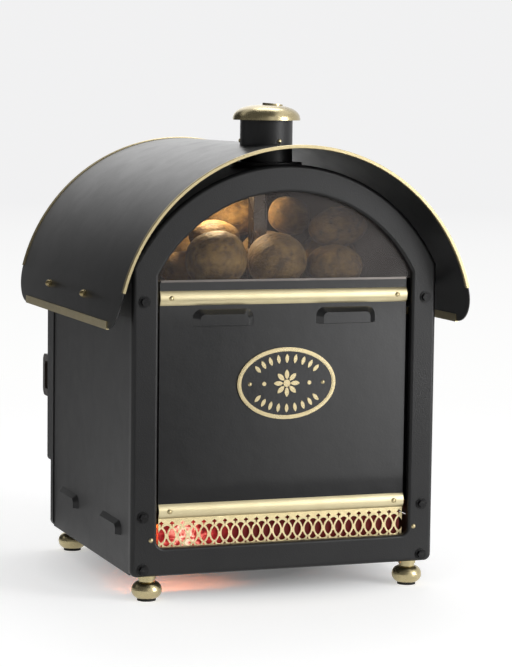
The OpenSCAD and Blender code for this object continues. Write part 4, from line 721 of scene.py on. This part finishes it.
def seen(tree):
    """1 for rays that look at the background, 0 for rays that gather light."""
    path = add(tree, "ShaderNodeLightPath")
    looking = path.outputs["Is Camera Ray"]
    for kind in ("Is Glossy Ray", "Is Transmission Ray"):
        either = add(tree, "ShaderNodeMath", {"operation": "MAXIMUM"})
        tree.links.new(looking, either.inputs[0])
        tree.links.new(path.outputs[kind], either.inputs[1])
        looking = either.outputs[0]
    return looking


def chosen_by(tree, amount, first, second):
    """Goes from one surface to another by an amount from 0 to 1."""
    mix = add(tree, "ShaderNodeMixShader")
    for socket, source in zip(mix.inputs, (amount, first, second)):
        tree.links.new(source, socket)
    return mix.outputs[0]


world = bpy.data.worlds.new("studio")
bpy.context.scene.world = world
world.use_nodes = True
tree = world.node_tree
tree.nodes.clear()
surround = add(tree, "ShaderNodeBackground", Color=WHITE, Strength=SURROUND_LIGHT)
shown = add(tree, "ShaderNodeBackground", Color=BACKDROP, Strength=1.0)
tree.links.new(chosen_by(tree, seen(tree), surround.outputs[0], shown.outputs[0]),
               add(tree, "ShaderNodeOutputWorld").inputs["Surface"])

floor_mesh = bpy.data.meshes.new("studio_floor")
ring_points = [
    (FLOOR_RADIUS * math.cos(math.radians(angle)),
     FLOOR_RADIUS * math.sin(math.radians(angle)), 0.0)
    for angle in range(0, 360, FLOOR_STEP_DEGREES)
]
floor_mesh.from_pydata(ring_points, [], [list(range(len(ring_points)))])
floor = bpy.data.objects.new("studio_floor", floor_mesh)
bpy.context.scene.collection.objects.link(floor)
paper, tree, shader, place = bare_finish("pale_paper")
tree.nodes.remove(shader)
matt = add(tree, "ShaderNodeBsdfDiffuse", Color=PAPER_GREY).outputs[0]
reach = add(tree, "ShaderNodeVectorMath", {"operation": "LENGTH"})
tree.links.new(place, reach.inputs[0])
reach = reach.outputs["Value"]

# The paper is lifted a little where the camera sees it, least under and round the
# cabinet, where the smaller lift is a painted shadow, and turns into the even backdrop away
# from the cabinet.
LIFT_IN_PAINTED_SHADOW = 0.13
LIFT_AWAY = 0.52
LIFT_START = 0.1
LIFT_END = 0.3
SWEEP_START = 0.9
SWEEP_END = 2.4
BACKDROP_START = 2.5
BACKDROP_END = 12.0
# Painted shadow: the lift is weakest near the cabinet and grows out to LIFT_END.
lift = add(tree, "ShaderNodeEmission", Color=WHITE, Strength=between(
    tree, reach, LIFT_IN_PAINTED_SHADOW, LIFT_AWAY, LIFT_START, LIFT_END))
near = add(tree, "ShaderNodeAddShader")
tree.links.new(matt, near.inputs[0])
tree.links.new(lift.outputs[0], near.inputs[1])
lifted = chosen_by(tree, seen(tree), matt, near.outputs[0])
sky = two_tone(tree, between(tree, reach, 0.0, 1.0, BACKDROP_START, BACKDROP_END),
               SWEEP_NEAR, BACKDROP)
far = add(tree, "ShaderNodeEmission", Strength=1.0, Color=sky)
sweep = chosen_by(tree, between(tree, reach, 0.0, 1.0, SWEEP_START, SWEEP_END), lifted,
                  far.outputs[0])
tree.links.new(sweep, tree.nodes["Material Output"].inputs["Surface"])
floor.data.materials.append(paper)


def softbox(name, place, aim, width, height, power):
    """A square soft light turned towards a point."""
    light = bpy.data.lights.new(name, "AREA")
    light.shape = "RECTANGLE"
    light.size = width
    light.size_y = height
    light.energy = power
    lamp = bpy.data.objects.new(name, light)
    bpy.context.scene.collection.objects.link(lamp)
    lamp.location = place
    direction = Vector(aim) - Vector(place)
    lamp.rotation_euler = direction.to_track_quat("-Z", "Y").to_euler()
    return lamp


MAIN_POWER = 52.0
OVERHEAD_POWER = 16.0
FILL_POWER = 7.0
softbox("front_right_softbox", (2.1, -2.35, 0.95), (0.0, -0.2, 0.35), 1.2, 1.7, MAIN_POWER)
softbox("overhead_softbox", (0.6, 1.2, 2.9), (0.0, 0.0, 0.4), 1.2, 1.2, OVERHEAD_POWER)
fill = softbox("front_left_softbox", (-2.7, -1.9, 1.7), (0.0, 0.0, 0.3), 0.8, 1.2,
               FILL_POWER)
fill.visible_glossy = False

# Reflection cards
# Cards stand round the cabinet and show only in its reflections. A graded one
# behind it shades the roof from its top down to its left edge, those on the floor
# shade the left side and the front, and grey ones keep the brass from glaring.
ACROSS = (1.0, 0.0, 0.0)
LEFT_AND_FORWARD = (-1.0, -0.256, 0.0)
RIGHT_AND_BACK = (1.0, 0.38, 0.0)
NO_GRADE = (-5.0, -4.0)
FAR_LEFT = -4.5
FAR_FRONT = -4.5
FAR_BACK = 2.6
CARD_TOP = 3.2
FLOOR_CARD = 0.003


def card(name, dim, bright, start, end, direction, *corners):
    """A glowing sheet that grades from dim to bright along a direction."""
    sheet_look, tree, shader, place = bare_finish(name)
    tree.nodes.remove(shader)
    along = add(tree, "ShaderNodeVectorMath", {"operation": "DOT_PRODUCT"})
    tree.links.new(place, along.inputs[0])
    along.inputs[1].default_value = direction
    glow = add(tree, "ShaderNodeEmission", Strength=between(
        tree, along.outputs["Value"], dim, bright, start, end))
    tree.links.new(glow.outputs[0], tree.nodes["Material Output"].inputs["Surface"])
    mesh = bpy.data.meshes.new(name)
    mesh.from_pydata(corners, [], [list(range(len(corners)))])
    mesh.materials.append(sheet_look)
    sheet_piece = bpy.data.objects.new(name, mesh)
    bpy.context.scene.collection.objects.link(sheet_piece)
    sheet_piece.visible_camera = False
    sheet_piece.visible_diffuse = False
    sheet_piece.visible_shadow = False
    sheet_piece.visible_transmission = False


card("graded_back_card", 0.05, 1.5, -0.9, 0.25, ACROSS,
     (FAR_LEFT, FAR_BACK, 0.0), (1.2, FAR_BACK, 0.0),
     (1.2, FAR_BACK, CARD_TOP), (FAR_LEFT, FAR_BACK, CARD_TOP))
card("left_floor_card", 0.02, 0.9, 0.22, 0.36, LEFT_AND_FORWARD,
     (FAR_LEFT, -0.3, FLOOR_CARD), (-0.3, -0.3, FLOOR_CARD),
     (-0.3, FAR_BACK, FLOOR_CARD), (FAR_LEFT, FAR_BACK, FLOOR_CARD))
card("left_card", 0.14, 0.14, *NO_GRADE, ACROSS,
     (FAR_LEFT, FAR_FRONT, 0.0), (FAR_LEFT, FAR_BACK, 0.0),
     (FAR_LEFT, FAR_BACK, CARD_TOP), (FAR_LEFT, FAR_FRONT, CARD_TOP))
card("front_left_card", 0.22, 0.3, FAR_LEFT, -1.0, ACROSS,
     (FAR_LEFT, FAR_FRONT, 0.0), (-0.9, FAR_FRONT, 0.0),
     (-0.9, FAR_FRONT, CARD_TOP), (FAR_LEFT, FAR_FRONT, CARD_TOP))
card("ceiling_card", 0.14, 1.3, 0.5, 1.3, ACROSS,
     (FAR_LEFT, FAR_FRONT, CARD_TOP), (3.0, FAR_FRONT, CARD_TOP),
     (3.0, 1.5, CARD_TOP), (FAR_LEFT, 1.5, CARD_TOP))
card("foot_card", 0.03, 0.03, *NO_GRADE, ACROSS,
     (-0.6, -1.12, FLOOR_CARD), (1.5, -1.12, FLOOR_CARD),
     (1.5, -0.7, FLOOR_CARD), (-0.6, -0.7, FLOOR_CARD))
card("front_floor_card", 0.22, 2.1, -0.3, 0.3, RIGHT_AND_BACK,
     (-0.6, -4.4, FLOOR_CARD), (2.6, -4.4, FLOOR_CARD),
     (2.6, -1.12, FLOOR_CARD), (-0.6, -1.12, FLOOR_CARD))

# Camera
# The camera stands to the left of the front, a little above the roof's height,
# with a long lens. Its place was worked out from points of the photograph.
LENS = 127.8
SENSOR_WIDTH = 36.0
VIEW_END = 200.0
CAMERA_PLACE = (-1.18885, -3.34950, 0.71050)
YAW = math.radians(20.060)
PITCH = math.radians(5.722)
ROLL = math.radians(0.710)
camera_data = bpy.data.cameras.new("camera")
camera_data.lens = LENS
camera_data.sensor_width = SENSOR_WIDTH
camera_data.clip_end = VIEW_END
camera = bpy.data.objects.new("camera", camera_data)
bpy.context.scene.collection.objects.link(camera)
forward = Vector((math.sin(YAW) * math.cos(PITCH), math.cos(YAW) * math.cos(PITCH),
                  -math.sin(PITCH)))
right = Vector((math.cos(YAW), -math.sin(YAW), 0.0))
up = right.cross(forward)
tilted_right = math.cos(ROLL) * right + math.sin(ROLL) * up
tilted_up = -math.sin(ROLL) * right + math.cos(ROLL) * up
turn = Matrix((tilted_right, tilted_up, -forward)).transposed().to_4x4()
camera.matrix_world = Matrix.Translation(CAMERA_PLACE) @ turn
bpy.context.scene.camera = camera
bpy.context.scene.view_settings.view_transform = "Standard"
